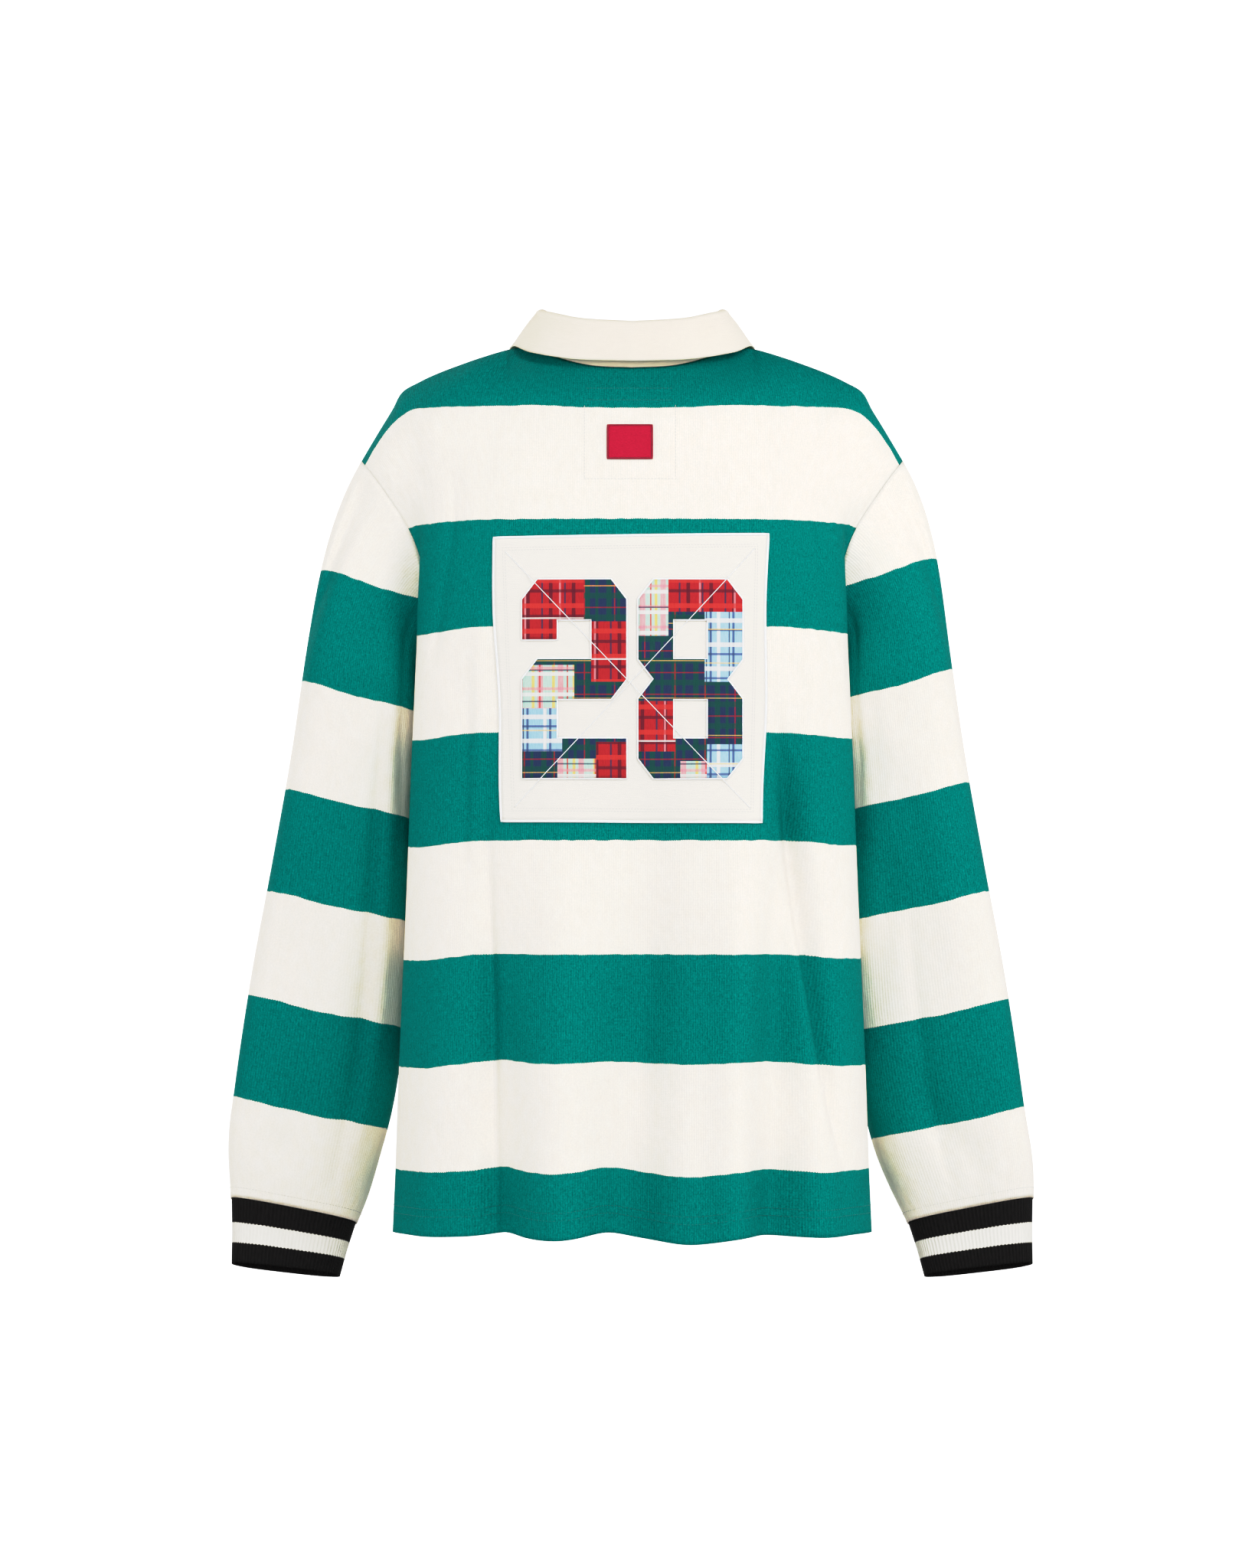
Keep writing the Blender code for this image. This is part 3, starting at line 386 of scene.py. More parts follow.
def panel_frame(back, marks):
    """The rows that a panel passes through, and each one's height at each column."""
    yokes = BACK_YOKES if back else FRONT_YOKES
    rows, heights = [], []
    armhole, last_end = ARMPIT, None
    for section in [low_section(r, back) for r in RINGS] + list(yokes):
        path = bow(section)
        length = along(path)[-1]
        outer = (marks - PATCH_HALF) / (marks[-1] - PATCH_HALF) * (length - PATCH_HALF)
        row = read_at(path, np.where(marks <= PATCH_HALF, marks, PATCH_HALF + outer))
        height = LENGTH + row[:, 2]
        if section in yokes:
            if last_end is not None:
                armhole += np.linalg.norm(row[-1] - last_end)
            last_end = row[-1]
            share = ease((row[:, 0] / section.fold_x - NEAR_FOLD) / (1 - NEAR_FOLD))
            share[-1] = 1.0
            height = height + share * (armhole - height[-1])
        rows.append(row)
        heights.append(height)
    top = top_row(BACK_NECK if back else FRONT_NECK, marks)
    heights.append(heights[-1] + np.linalg.norm(top - rows[-1], axis=1))
    rows.append(top)
    return np.array(rows), np.array(heights)


def fold_shift(folds, across, height):
    """How far the hanging folds move the cloth outwards, and up."""
    out, up = 0.0, 0.0
    for fold in folds:
        share = np.clip(height / fold.top, 0.0, 1.0)
        middle = fold.foot + (fold.head - fold.foot) * share
        bump = np.exp(-(((across - middle) / fold.half) ** 2) * 2.0)
        strength = 1.0 - ease(share)
        out = out + fold.depth * bump * strength
        up = up + fold.rise * bump * strength**2
    return out, up


def crease_shift(creases, u, v):
    """How far the smaller creases move the cloth outwards."""
    out = np.zeros_like(u)
    for crease in creases:
        run = np.array([crease.u1 - crease.u0, crease.v1 - crease.v0])
        length = np.linalg.norm(run)
        run = run / length
        t = ((u - crease.u0) * run[0] + (v - crease.v0) * run[1]) / length
        off = (u - crease.u0) * run[1] - (v - crease.v0) * run[0]
        fade = ease(t * 3.0) * ease((1.0 - t) * 3.0)
        off = np.abs(off) / crease.half
        profile = -2.2 * np.sqrt(off**2 + 0.03) if crease.sharp else -2.0 * off**2
        out += crease.depth * fade * np.exp(profile)
    return out


def grid_normals(grid, closed=False, flip=False):
    """Unit normals of a grid, from its rows and columns."""
    up = np.gradient(grid, axis=0)
    if closed:
        round_it = (np.roll(grid, -1, axis=1) - np.roll(grid, 1, axis=1)) / 2
    else:
        round_it = np.gradient(grid, axis=1)
    normal = unit(np.cross(up, round_it))
    return -normal if flip else normal


class Panel:
    """The back or front: its grid, and the place of any point of the flat cut on it."""

    def __init__(self, back, spacing):
        self.back = back
        inner = even(0.0, NECK_COLUMN, spacing)
        outer = even(PATCH_HALF, SIDE_COLUMN, spacing)
        middle = even(NECK_COLUMN, PATCH_HALF, spacing)
        half = np.concatenate([inner, middle[1:], outer[1:]])
        low = even(0.0, ARMPIT, spacing)
        rows = np.linspace(0.0, 1.0, int((LENGTH - ARMPIT) / spacing) + 6)[1:]
        frame_rows, heights = panel_frame(back, half)
        columns, tops = [], []
        for j in range(len(half)):
            top = heights[-1, j]
            wanted = np.concatenate([low, low[-1] + rows * (top - low[-1])])
            level_off = ease((half[j] - NECK_COLUMN) / LEVEL_OFF)
            rising = unit(frame_rows[-1, j] - frame_rows[-2, j])
            flat = np.array([0.0, -1.0 if back else 1.0, 0.0])
            slope = unit((1 - level_off) * rising + level_off * flat)
            if j < len(half) - 1:
                columns.append(smooth(heights[:, j], frame_rows[:, j], wanted, slope))
            else:
                split = len(RINGS)
                seam = smooth(heights[: split + 1, j], frame_rows[: split + 1, j], low)
                edge = smooth(
                    heights[split:, j], frame_rows[split:, j], wanted[len(low) :], slope
                )
                columns.append(np.concatenate([seam, edge]))
            tops.append(wanted)
        half_grid = np.array(columns).transpose(1, 0, 2)
        half_height = np.array(tops).T
        grid = np.concatenate([half_grid[:, :0:-1] * (-1, 1, 1), half_grid], axis=1)
        self.height = np.concatenate([half_height[:, :0:-1], half_height], axis=1)
        self.marks = np.concatenate([-half[:0:-1], half])
        self.across = self.marks[None, :] * np.ones_like(self.height)
        self.armpit_row = len(low) - 1
        self.grid = self.folded(grid)
        self.normals = grid_normals(self.grid, flip=not back)

    def knitted(self):
        """The height of each point among the hoops, which rise with the folds, fall away over
        the shoulders and droop a little towards the side seams."""
        x, z = self.grid[..., 0], self.grid[..., 2] - self.rise
        shoulder = np.maximum(np.abs(x) - HOOP_DROP_FROM, 0.0) ** 2 * HOOP_DROP
        outer = np.clip(np.abs(x) - PATCH_HALF, 0.0, SIDE_DROOP_END)
        side = outer**2 * np.where(x > 0, *SIDE_DROOP)
        above = ease((z - SHOULDER_DROP_LOW) / HOOP_EASE)
        below = ease((SIDE_DROOP_TOP - z) / HOOP_EASE) * ease((z + LENGTH) / SIDE_DROOP_FOOT)
        top = self.height[-1] - LENGTH - z[-1]
        near_neck = ease((z - z[-1] + NECK_RISE) / NECK_RISE)
        neck = near_neck * top * (np.abs(x) < NECK_COLUMN) * self.back
        return LENGTH + z + shoulder * above + side * below + neck

    def folded(self, grid):
        """The grid with its folds and creases, which fade out at the side seams."""
        out, up = fold_shift(BACK_FOLDS if self.back else FRONT_FOLDS, self.across, self.height)
        inside = ease((self.marks[-1] - np.abs(self.across)) / FOLD_END)
        creases = BACK_CREASES if self.back else FRONT_CREASES
        out = (out + crease_shift(creases, self.across, self.height)) * inside
        away = grid_normals(grid, flip=not self.back)
        away[..., 2] = 0.0
        grid = grid + unit(away) * out[..., None]
        self.rise = up * inside
        grid[..., 2] += self.rise
        return grid

    def at(self, u, v, lift=0.0):
        """Points at that u and v, lifted off the cloth, and the normals there."""
        u, v = np.atleast_1d(u).astype(float), np.atleast_1d(v).astype(float)
        place = np.interp(u, self.marks, np.arange(len(self.marks)))
        first = np.clip(place.astype(int), 0, len(self.marks) - 2)
        share = (place - first)[:, None]
        sides = []
        for column in (first, first + 1):
            found = np.empty((len(u), 6))
            for n, j in enumerate(column):
                row = np.interp(v[n], self.height[:, j], np.arange(len(self.height)))
                i = min(int(row), len(self.height) - 2)
                t = row - i
                both = np.concatenate([self.grid[i : i + 2, j], self.normals[i : i + 2, j]], axis=1)
                found[n] = both[0] * (1 - t) + both[1] * t
            sides.append(found)
        mixed = sides[0] * (1 - share) + sides[1] * share
        normals = unit(mixed[:, 3:])
        return mixed[:, :3] + normals * np.reshape(lift, (-1, 1)), normals


# ---------------------------------------------------------------- sleeves and cuffs


def arm_ring(ring, angles):
    """A ring across the arm, a little squarer than an oval. Angle 0 is its outer edge and 90
    degrees faces back."""
    across, deep = np.cos(angles), np.sin(angles)
    full = (np.abs(across) ** ARM_SQUARE + np.abs(deep) ** ARM_SQUARE) ** (-1 / ARM_SQUARE)
    tilt = math.radians(ring.tilt)
    outward = np.array([math.cos(tilt), 0.0, math.sin(tilt)])
    backward = np.array([0.0, math.cos(RING_LEAN), math.sin(RING_LEAN)])
    return (
        np.array([ring.x, ring.y, ring.z])
        + ring.across * (across * full)[:, None] * outward
        + ring.deep * (deep * full)[:, None] * backward
    )


def arm_tube(rings, rows, angles):
    """That many rows of rings down the arm, and the distance of each along it."""
    table = np.array(rings, float)
    far = along(table[:, :3])
    at = np.linspace(0.0, far[-1], rows + 1)
    return np.array([arm_ring(Sleeve(*row), angles) for row in smooth(far, table, at)]), at


def ring_line(grid, v, height, side):
    """A loop round a sleeve or cuff at that v, as points and normals."""
    both = np.concatenate([grid, grid_normals(grid, closed=True, flip=side < 0)], axis=2)
    columns = [*range(grid.shape[1]), 0]
    loop = np.array(
        [[np.interp(height, v[::-1, j], both[::-1, j, k]) for k in range(6)] for j in columns]
    )
    return loop[:, :3], unit(loop[:, 3:])


def armhole_loop(back, front, side):
    """The armhole seam on one side, mirrored to +X, the way the cloth leaves it, and the
    armpit's place."""
    edge, beside = (-1, -2) if side > 0 else (0, 1)
    behind, before = back.grid[back.armpit_row :], front.grid[front.armpit_row :]
    loop = np.concatenate([behind[::-1, edge], before[1:-1, edge]])
    leaving = np.concatenate(
        [
            unit(behind[:, edge] - behind[:, beside])[::-1],
            unit(before[:, edge] - before[:, beside])[1:-1],
        ]
    )
    flip = (side, 1, 1)
    return loop * flip, leaving * flip, len(behind) - 1


# Creases of the sleeves: from and to as u, turns round the arm, and v up from the wrist.
LEFT_SLEEVE_CREASES = (
    Crease(0.210, 0.020, 0.235, 0.110, 0.045, -0.0030),
    Crease(0.330, -0.040, 0.318, 0.520, 0.030, -0.0085, True),
    Crease(0.362, 0.020, 0.350, 0.460, 0.028, 0.0030),
    Crease(0.155, 0.060, 0.165, 0.330, 0.040, -0.0030),
    Crease(0.392, 0.330, 0.345, 0.600, 0.040, -0.0045, True),
    Crease(0.640, 0.080, 0.700, 0.300, 0.060, -0.0020),
    Crease(0.800, 0.260, 0.740, 0.480, 0.060, 0.0016),
)
RIGHT_SLEEVE_CREASES = (
    Crease(0.180, 0.010, 0.330, 0.120, 0.036, -0.0030),
    Crease(0.360, 0.180, 0.290, 0.330, 0.040, -0.0030),
    Crease(0.285, -0.040, 0.275, 0.320, 0.034, -0.0050, True),
    Crease(0.180, 0.180, 0.210, 0.400, 0.050, 0.0020),
    Crease(0.375, 0.300, 0.350, 0.600, 0.040, -0.0045, True),
    Crease(0.320, 0.330, 0.320, 0.500, 0.036, -0.0020),
    Crease(0.700, 0.060, 0.640, 0.280, 0.060, -0.0020),
    Crease(0.760, 0.300, 0.820, 0.500, 0.060, 0.0016),
)


def sleeve_grid(armhole, leaving, armpit, sway, spacing, creases):
    """The outside face of a sleeve on the +X side from the armhole seam down to the cuff, the
    angles round it, and v at each point."""
    far = along(np.concatenate([armhole, armhole[:1]]))
    behind = far[:armpit] / far[armpit]
    before = 1.0 + (far[armpit:-1] - far[armpit]) / (far[-1] - far[armpit])
    angles = math.pi * np.concatenate([behind, before])
    length = along(np.array(SLEEVE_RINGS, float)[:, :3])[-1]
    rings, down = arm_tube(SLEEVE_RINGS, int(length / spacing), angles)
    depth = (down / down[-1])[:, None]
    rings[..., 0] += sway * (1.0 - ease((depth - SWAY_END) / (1.0 - SWAY_END)))
    reach = np.linalg.norm(rings[0] - armhole, axis=1, keepdims=True)
    seam = unit(np.roll(armhole, -1, axis=0) - np.roll(armhole, 1, axis=0))
    across = leaving - np.sum(leaving * seam, axis=1, keepdims=True) * seam
    over = (np.cos(angles / 2) ** 2)[:, None]
    start = unit(over * unit(across) + (1 - over) * UNDERARM) * reach
    arriving = unit(rings[1] - rings[0]) * reach
    steps = np.linspace(0.0, 1.0, SLEEVE_HEAD_ROWS + 1)[:-1]
    head = np.array([curve_to(armhole, start, rings[0], arriving, t) for t in steps])
    grid = np.concatenate([head, rings])
    above = along_columns(grid[len(head) :: -1])[:0:-1]
    v = np.concatenate([down[-1] + above, (down[-1] - down)[:, None] + 0 * angles[None, :]])
    turns = angles[None, :] / (2 * math.pi) + 0 * v
    from_armhole = along_columns(grid)
    inside = ease(from_armhole / SLEEVE_CREASE_END) * ease(v / SLEEVE_CREASE_END)
    out = crease_shift(creases, turns, v) * inside
    grid = grid + grid_normals(grid, closed=True) * out[..., None]
    bowed = SLEEVE_HOOP_BOW * np.cos(2 * angles) * ease(v / SLEEVE_BOW_FOOT)
    high = ease((v - down[-1]) / SLEEVE_RISE_EASE + 0.5)
    return grid, angles, v - bowed - SLEEVE_HOOP_RISE * over[:, 0] ** 3 * high


# ---------------------------------------------------------------- collar


def neck_edge(back, front):
    """The neck edge from the centre back to the collar's front end, +X half."""

    def half_edge(panel):
        inside = (panel.marks >= 0) & (panel.marks <= NECK_COLUMN + 1e-6)
        return panel.grid[-1, inside]

    behind, before = half_edge(back), half_edge(front)
    short = COLLAR_FRONT / before[1, 0]
    before = np.concatenate([[before[0] + (before[1] - before[0]) * short], before[1:]])
    return np.concatenate([behind, before[-2::-1]])


def both_halves(half):
    return np.concatenate([half[:, :0:-1] * (-1, 1, 1), half], axis=1)


def collar_faces(foot, stand_rows=6, roll_steps=10, leaf_rows=14):
    """The outside face of the stand and the upper face of the leaf."""
    share = along(foot) / along(foot)[-1]
    table = np.array(COLLAR, float)
    lines = smooth(np.linspace(0.0, 1.0, len(table)), table, share)
    roll, edge = lines[:, :3], lines[:, 3:]
    stand = np.array([foot + (roll - foot) * t for t in np.linspace(0.0, 1.0, stand_rows + 1)])
    ahead = unit(np.gradient(roll, axis=0))
    rise = unit(roll - foot)
    outward = unit(np.cross(ahead, rise))
    outward *= np.sign(np.sum(outward * (edge - foot), axis=1))[:, None]
    centre = roll + outward * (ROLL - TWILL) + rise * SEAM_GAP
    leaf = [
        centre + ROLL * (math.sin(a) * rise - math.cos(a) * outward)
        for a in np.linspace(0.0, math.pi, roll_steps + 1)
    ]
    hang = leaf[-1]
    inward = unit(np.cross(ahead, unit(edge - hang)))
    inward *= -np.sign(np.sum(inward * outward, axis=1))[:, None]
    for t in np.linspace(0, 1, leaf_rows + 1)[1:]:
        belly = COLLAR_BELLY * math.sin(math.pi * t) * (1.0 - 0.6 * t)
        leaf.append(hang + (edge - hang) * t - inward * belly)
    return both_halves(stand), both_halves(np.array(leaf))


# ---------------------------------------------------------------- meshes


def new_piece(name, verts, faces, material, uvs=None):
    """A mesh piece that rides on the shirt. uvs gives (u, v) for each corner of each face."""
    mesh = bpy.data.meshes.new(name)
    mesh.from_pydata([tuple(p) for p in verts], [], faces)
    if uvs is not None:
        layer = mesh.uv_layers.new(name="cloth")
        layer.data.foreach_set("uv", np.asarray(uvs, np.float32).ravel())
    mesh.update()
    mesh.shade_smooth()
    mesh.materials.append(material)
    piece = bpy.data.objects.new(name, mesh)
    bpy.context.scene.collection.objects.link(piece)
    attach(piece, "root")
    return piece


def grid_piece(name, grid, u, v, material, flip=False, closed=False, girth=None):
    """A cloth piece from a grid of points on its outside face. A closed grid joins its last
    column to its first, where u goes on to its girth."""
    rows, cols = grid.shape[:2]
    index = np.arange(rows * cols).reshape(rows, cols)
    if closed:
        index = np.concatenate([index, index[:, :1]], axis=1)
        u = np.concatenate([u, u[:, :1] + girth], axis=1)
        v = np.concatenate([v, v[:, :1]], axis=1)
    uv = np.stack([u, v], axis=-1)
    a, b = (slice(None, -1), slice(None, -1)), (slice(None, -1), slice(1, None))
    c, d = (slice(1, None), slice(1, None)), (slice(1, None), slice(None, -1))
    order = (a, b, c, d) if flip else (a, d, c, b)
    faces = np.stack([index[k] for k in order], axis=-1).reshape(-1, 4)
    uvs = np.stack([uv[k] for k in order], axis=-2).reshape(-1, 2)
    return new_piece(name, grid.reshape(-1, 3), faces.tolist(), material, uvs=uvs)


def stand_in(piece, node, thickness):
    """Gives the cloth its thickness, inwards from the outside face, and hides the node it stands in
    for.
    """
    wall = piece.modifiers.new("wall", "SOLIDIFY")
    wall.thickness = thickness
    wall.offset = -1.0
    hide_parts(node)


def laid_cloth(node, panel, u, v, lift, material, wall, flip=False):
    """A cloth piece that lies on a panel, from a grid of u and v."""
    points, _ = panel.at(u.ravel(), v.ravel(), lift)
    grid = points.reshape(*u.shape, 3)
    piece = grid_piece(node + "_cloth", grid, u, v, material, flip=flip)
    stand_in(piece, node, wall)
    return piece


def arm_cloth(node, grid, angles, v, girth, side, material, wall, ends=()):
    """A cloth piece round an arm, with its seam under the arm and at those ends."""
    u = (angles / (2 * math.pi) * girth)[None, :] + 0 * v
    flip = side < 0
    piece = grid_piece(
        node + "_cloth", grid, u, v, material, flip=flip, closed=True, girth=girth
    )
    armpit = int(np.argmin(np.abs(angles - math.pi)))
    mark_seams(piece, grid, [*ends, grid[:, armpit]])
    stand_in(piece, node, wall)
    return piece


SEAM_REACH = 0.03  # how far from a seam its distance is worked out


def mark_seams(piece, grid, edges):
    """A "seam" attribute: each point's distance from the nearest of those seam lines."""
    points = grid.reshape(-1, 3)
    nearest = np.full(len(points), 1.0)
    for edge in edges:
        low, high = edge.min(axis=0) - SEAM_REACH, edge.max(axis=0) + SEAM_REACH
        close = np.all((points > low) & (points < high), axis=1)
        gaps = np.linalg.norm(points[close][:, None] - edge[None], axis=2).min(axis=1)
        nearest[close] = np.minimum(nearest[close], gaps)
    layer = piece.data.attributes.new("seam", "FLOAT", "POINT")
    layer.data.foreach_set("value", nearest.astype(np.float32))


def mirrored(*corners):
    """A whole section from its corners on one side and in the middle."""
    return corners + tuple((-x, y) for x, y in reversed(corners) if x)


# Sections of the bands and cords, as (across, up).
PATCH_SATIN = mirrored((0.0012, -0.0003), (0.0009, 0.0005), (0, 0.0008))
FIGURE_SATIN = mirrored((0.0015, -0.0003), (0.0011, 0.0006), (0, 0.0009))
LABEL_OVERLOCK = mirrored((0.0009, -0.0002), (0.0006, 0.0004), (0, 0.0006))
HOLE_BINDING = mirrored((0.0005, -0.0002), (0.0003, 0.0003))
CROSSED_THREAD = mirrored((0.0004, 0.0), (0.0002, 0.0004))
BUTTON_THREAD = ((0.0003, 0.0), (0.0, 0.0003), (-0.0003, 0.0), (0.0, -0.0003))


def swept(name, paths, section, material, loop=False):
    """Raised bands or cords along paths of (points, normals), open or as loops."""
    verts, faces, uvs = [], [], []
    for points, normals in paths:
        n = len(points)
        if loop:
            ahead = unit(np.roll(points, -1, axis=0) - np.roll(points, 1, axis=0))
        else:
            ahead = unit(np.gradient(points, axis=0))
        side = unit(np.cross(ahead, normals))
        far = along(points)
        base, k = len(verts), len(section)
        for p, s, up in zip(points, side, normals):
            verts += [p + s * x + up * y for x, y in section]
        for i in range(n if loop else n - 1):
            j = (i + 1) % n
            end = far[j] if j else far[-1] + np.linalg.norm(points[0] - points[-1])
            here, there = base + i * k, base + j * k
            for a in range(k):
                b = (a + 1) % k
                faces.append([here + a, here + b, there + b, there + a])
                x0, x1 = section[a][0], section[b][0]
                uvs += [(x0, far[i]), (x1, far[i]), (x1, end), (x0, end)]
        if not loop:
            faces.append([base + a for a in reversed(range(k))])
            faces.append([base + (n - 1) * k + a for a in range(k)])
            uvs += [(0.0, 0.0)] * (2 * k)
    return new_piece(name, verts, faces, material, uvs=uvs)


def stitches(name, paths, material, pitch=0.0030, length=0.0022, width=0.0006, rise=0.0003):
    """Rows of sewing stitches: short low capsules along paths of (points, normals)."""
    verts, faces = [], []
    ring = [(-0.5, 0.0), (-0.3, 0.7), (0.0, 1.0), (0.3, 0.7), (0.5, 0.0)]
    ends = [(-0.5, 0.35), (-0.32, 0.9), (0.32, 0.9), (0.5, 0.35)]
    for points, normals in paths:
        far = along(points)
        middles = np.arange(pitch / 2, far[-1] - pitch / 4, pitch)
        spots = read_at(points, middles)
        ahead = unit(read_at(points, middles + pitch / 3) - read_at(points, middles - pitch / 3))
        ups = unit(np.stack([np.interp(middles, far, normals[:, k]) for k in range(3)], axis=1))
        sides = np.cross(ahead, ups)
        for spot, go, up, side in zip(spots, ahead, ups, sides):
            base = len(verts)
            for t, size in ends:
                for x, y in ring:
                    verts.append(
                        spot + go * (t * length) + side * (x * width * size)
                        + up * (rise * (2.0 * y * size - 0.6))
                    )
            for e in range(len(ends) - 1):
                for a in range(len(ring) - 1):
                    p = base + e * len(ring) + a
                    faces.append([p, p + 1, p + 1 + len(ring), p + len(ring)])
    return new_piece(name, verts, faces, material)


# ---------------------------------------------------------------- materials


class Field:
    """A number worked out at each point of a surface. Sums of Fields and plain numbers are
    Math nodes."""

    def __init__(self, paint, socket):
        self.paint = paint
        self.socket = socket

    def __add__(self, other):
        return self.paint.math("ADD", self, other)

    __radd__ = __add__

    def __mul__(self, other):
        return self.paint.math("MULTIPLY", self, other)

    __rmul__ = __mul__

    def __sub__(self, other):
        return self.paint.math("SUBTRACT", self, other)

    def __rsub__(self, other):
        return self.paint.math("SUBTRACT", other, self)

    def __truediv__(self, other):
        return self.paint.math("DIVIDE", self, other)

    def __rtruediv__(self, other):
        return self.paint.math("DIVIDE", other, self)

    def __pow__(self, other):
        return self.paint.math("POWER", self, other)

    def __rpow__(self, other):
        return self.paint.math("POWER", other, self)

    def __abs__(self):
        return self.paint.math("ABSOLUTE", self)

    def wave(self):
        """One wave to a unit."""
        return self.paint.math("SINE", self * (2 * math.pi))

    def part(self):
        """What is left past the whole number below."""
        return self.paint.math("FRACT", self)

    def climb(self, start, end):
        """0 before start and 1 past end, smooth between."""
        sockets = {"Value": self, "From Min": start, "From Max": end}
        return self.paint.value("ShaderNodeMapRange", sockets, interpolation_type="SMOOTHSTEP")


class Paint:
    """A material, with its nodes made one after another."""

    def __init__(self, name, rgb, roughness, sheen=0.0, specular=0.3):
        self.material = bpy.data.materials.new(name)
        self.material.use_nodes = True
        self.material.diffuse_color = (*rgb, 1.0)
        self.tree = self.material.node_tree
        self.shader = self.tree.nodes["Principled BSDF"]
        self.count = 0
        self.plug(self.shader.inputs["Base Color"], rgb)
        self.plug(self.shader.inputs["Roughness"], roughness)
        self.plug(self.shader.inputs["Specular IOR Level"], specular)
        self.plug(self.shader.inputs["Sheen Weight"], sheen)
        self.plug(self.shader.inputs["Sheen Roughness"], 0.5)

    def plug(self, socket, value):
        if isinstance(value, Field):
            self.tree.links.new(value.socket, socket)
        elif socket.type == "RGBA":
            socket.default_value = (*value, 1.0)
        else:
            socket.default_value = value

    def node(self, kind, sockets=(), **settings):
        """Any node, with its settings and what goes into its sockets."""
        made = self.tree.nodes.new(kind)
        made.location = (-220 * (1 + self.count % 8), -180 * (self.count // 8))
        self.count += 1
        for key, value in settings.items():
            setattr(made, key, value)
        for key, value in dict(sockets).items():
            self.plug(made.inputs[key], value)
        return made

    def value(self, kind, sockets=(), output=0, **settings):
        """What any node gives."""
        return Field(self, self.node(kind, sockets, **settings).outputs[output])

    def math(self, operation, *values):
        return self.value("ShaderNodeMath", enumerate(values), operation=operation)

    def split(self, source):
        """The numbers of a vector."""
        return [Field(self, s) for s in self.node("ShaderNodeSeparateXYZ", {0: source}).outputs]

    def uv(self):
        """u and v on the flat cut, in metres."""
        return self.split(self.value("ShaderNodeUVMap", uv_map="cloth"))[:2]

    def seam(self):
        """The distance from the nearest seam."""
        return self.value("ShaderNodeAttribute", output="Fac", attribute_name="seam")

    def vector(self, x, y, z=0.0):
        return self.value("ShaderNodeCombineXYZ", {0: x, 1: y, 2: z})

    def noise(self, x, y, z=0.0, detail=2.0, roughness=0.5):
        """Soft random values about 0.5, one lump to a unit of x and y."""
        sockets = {"Vector": self.vector(x, y, z), "Scale": 1.0, "Detail": detail}
        return self.value("ShaderNodeTexNoise", {**sockets, "Roughness": roughness}, "Fac")

    def mix(self, share, first, second, blend="MIX"):
        """From the first colour to the second, by a share."""
        sockets = {0: share, 6: first, 7: second}
        return self.value("ShaderNodeMix", sockets, 2, data_type="RGBA", blend_type=blend)

    def shade(self, colour, amount):
        """The colour, lighter or darker by an amount about 1."""
        return self.mix(1.0, colour, self.vector(amount, amount, amount), "MULTIPLY")

    def finish(self, colour, bumps, roughness=None):
        """Links the colour, the bumps, each a height and its depth, and the roughness."""
        self.plug(self.shader.inputs["Base Color"], colour)
        if roughness is not None:
            self.plug(self.shader.inputs["Roughness"], roughness)
        sockets = {"Strength": 1.0}
        for height, depth in bumps:
            sockets.update({"Height": height, "Distance": depth})
            sockets["Normal"] = self.value("ShaderNodeBump", sockets)
        self.plug(self.shader.inputs["Normal"], sockets["Normal"])
        return self.material


def linear(rgb):
    """A colour as it is seen, 0 to 255, as the light it gives back."""
    share = np.array(rgb, float) / 255.0
    return tuple(np.where(share <= 0.04045, share / 12.92, ((share + 0.055) / 1.055) ** 2.4))


WALE = 0.0019  # width of one column of knit loops
COURSE = 0.0014


def knit_relief(paint, u, v):
    """Columns of loops, a little uneven."""
    drift = paint.noise(u / 0.02, v / 0.05, detail=1.0)
    columns = (u / WALE + drift * 0.6).wave() * 0.5 + 0.5
    loops = (v / COURSE + abs((u / WALE).part() - 0.5)).wave() * 0.5 + 0.5
    return columns, loops


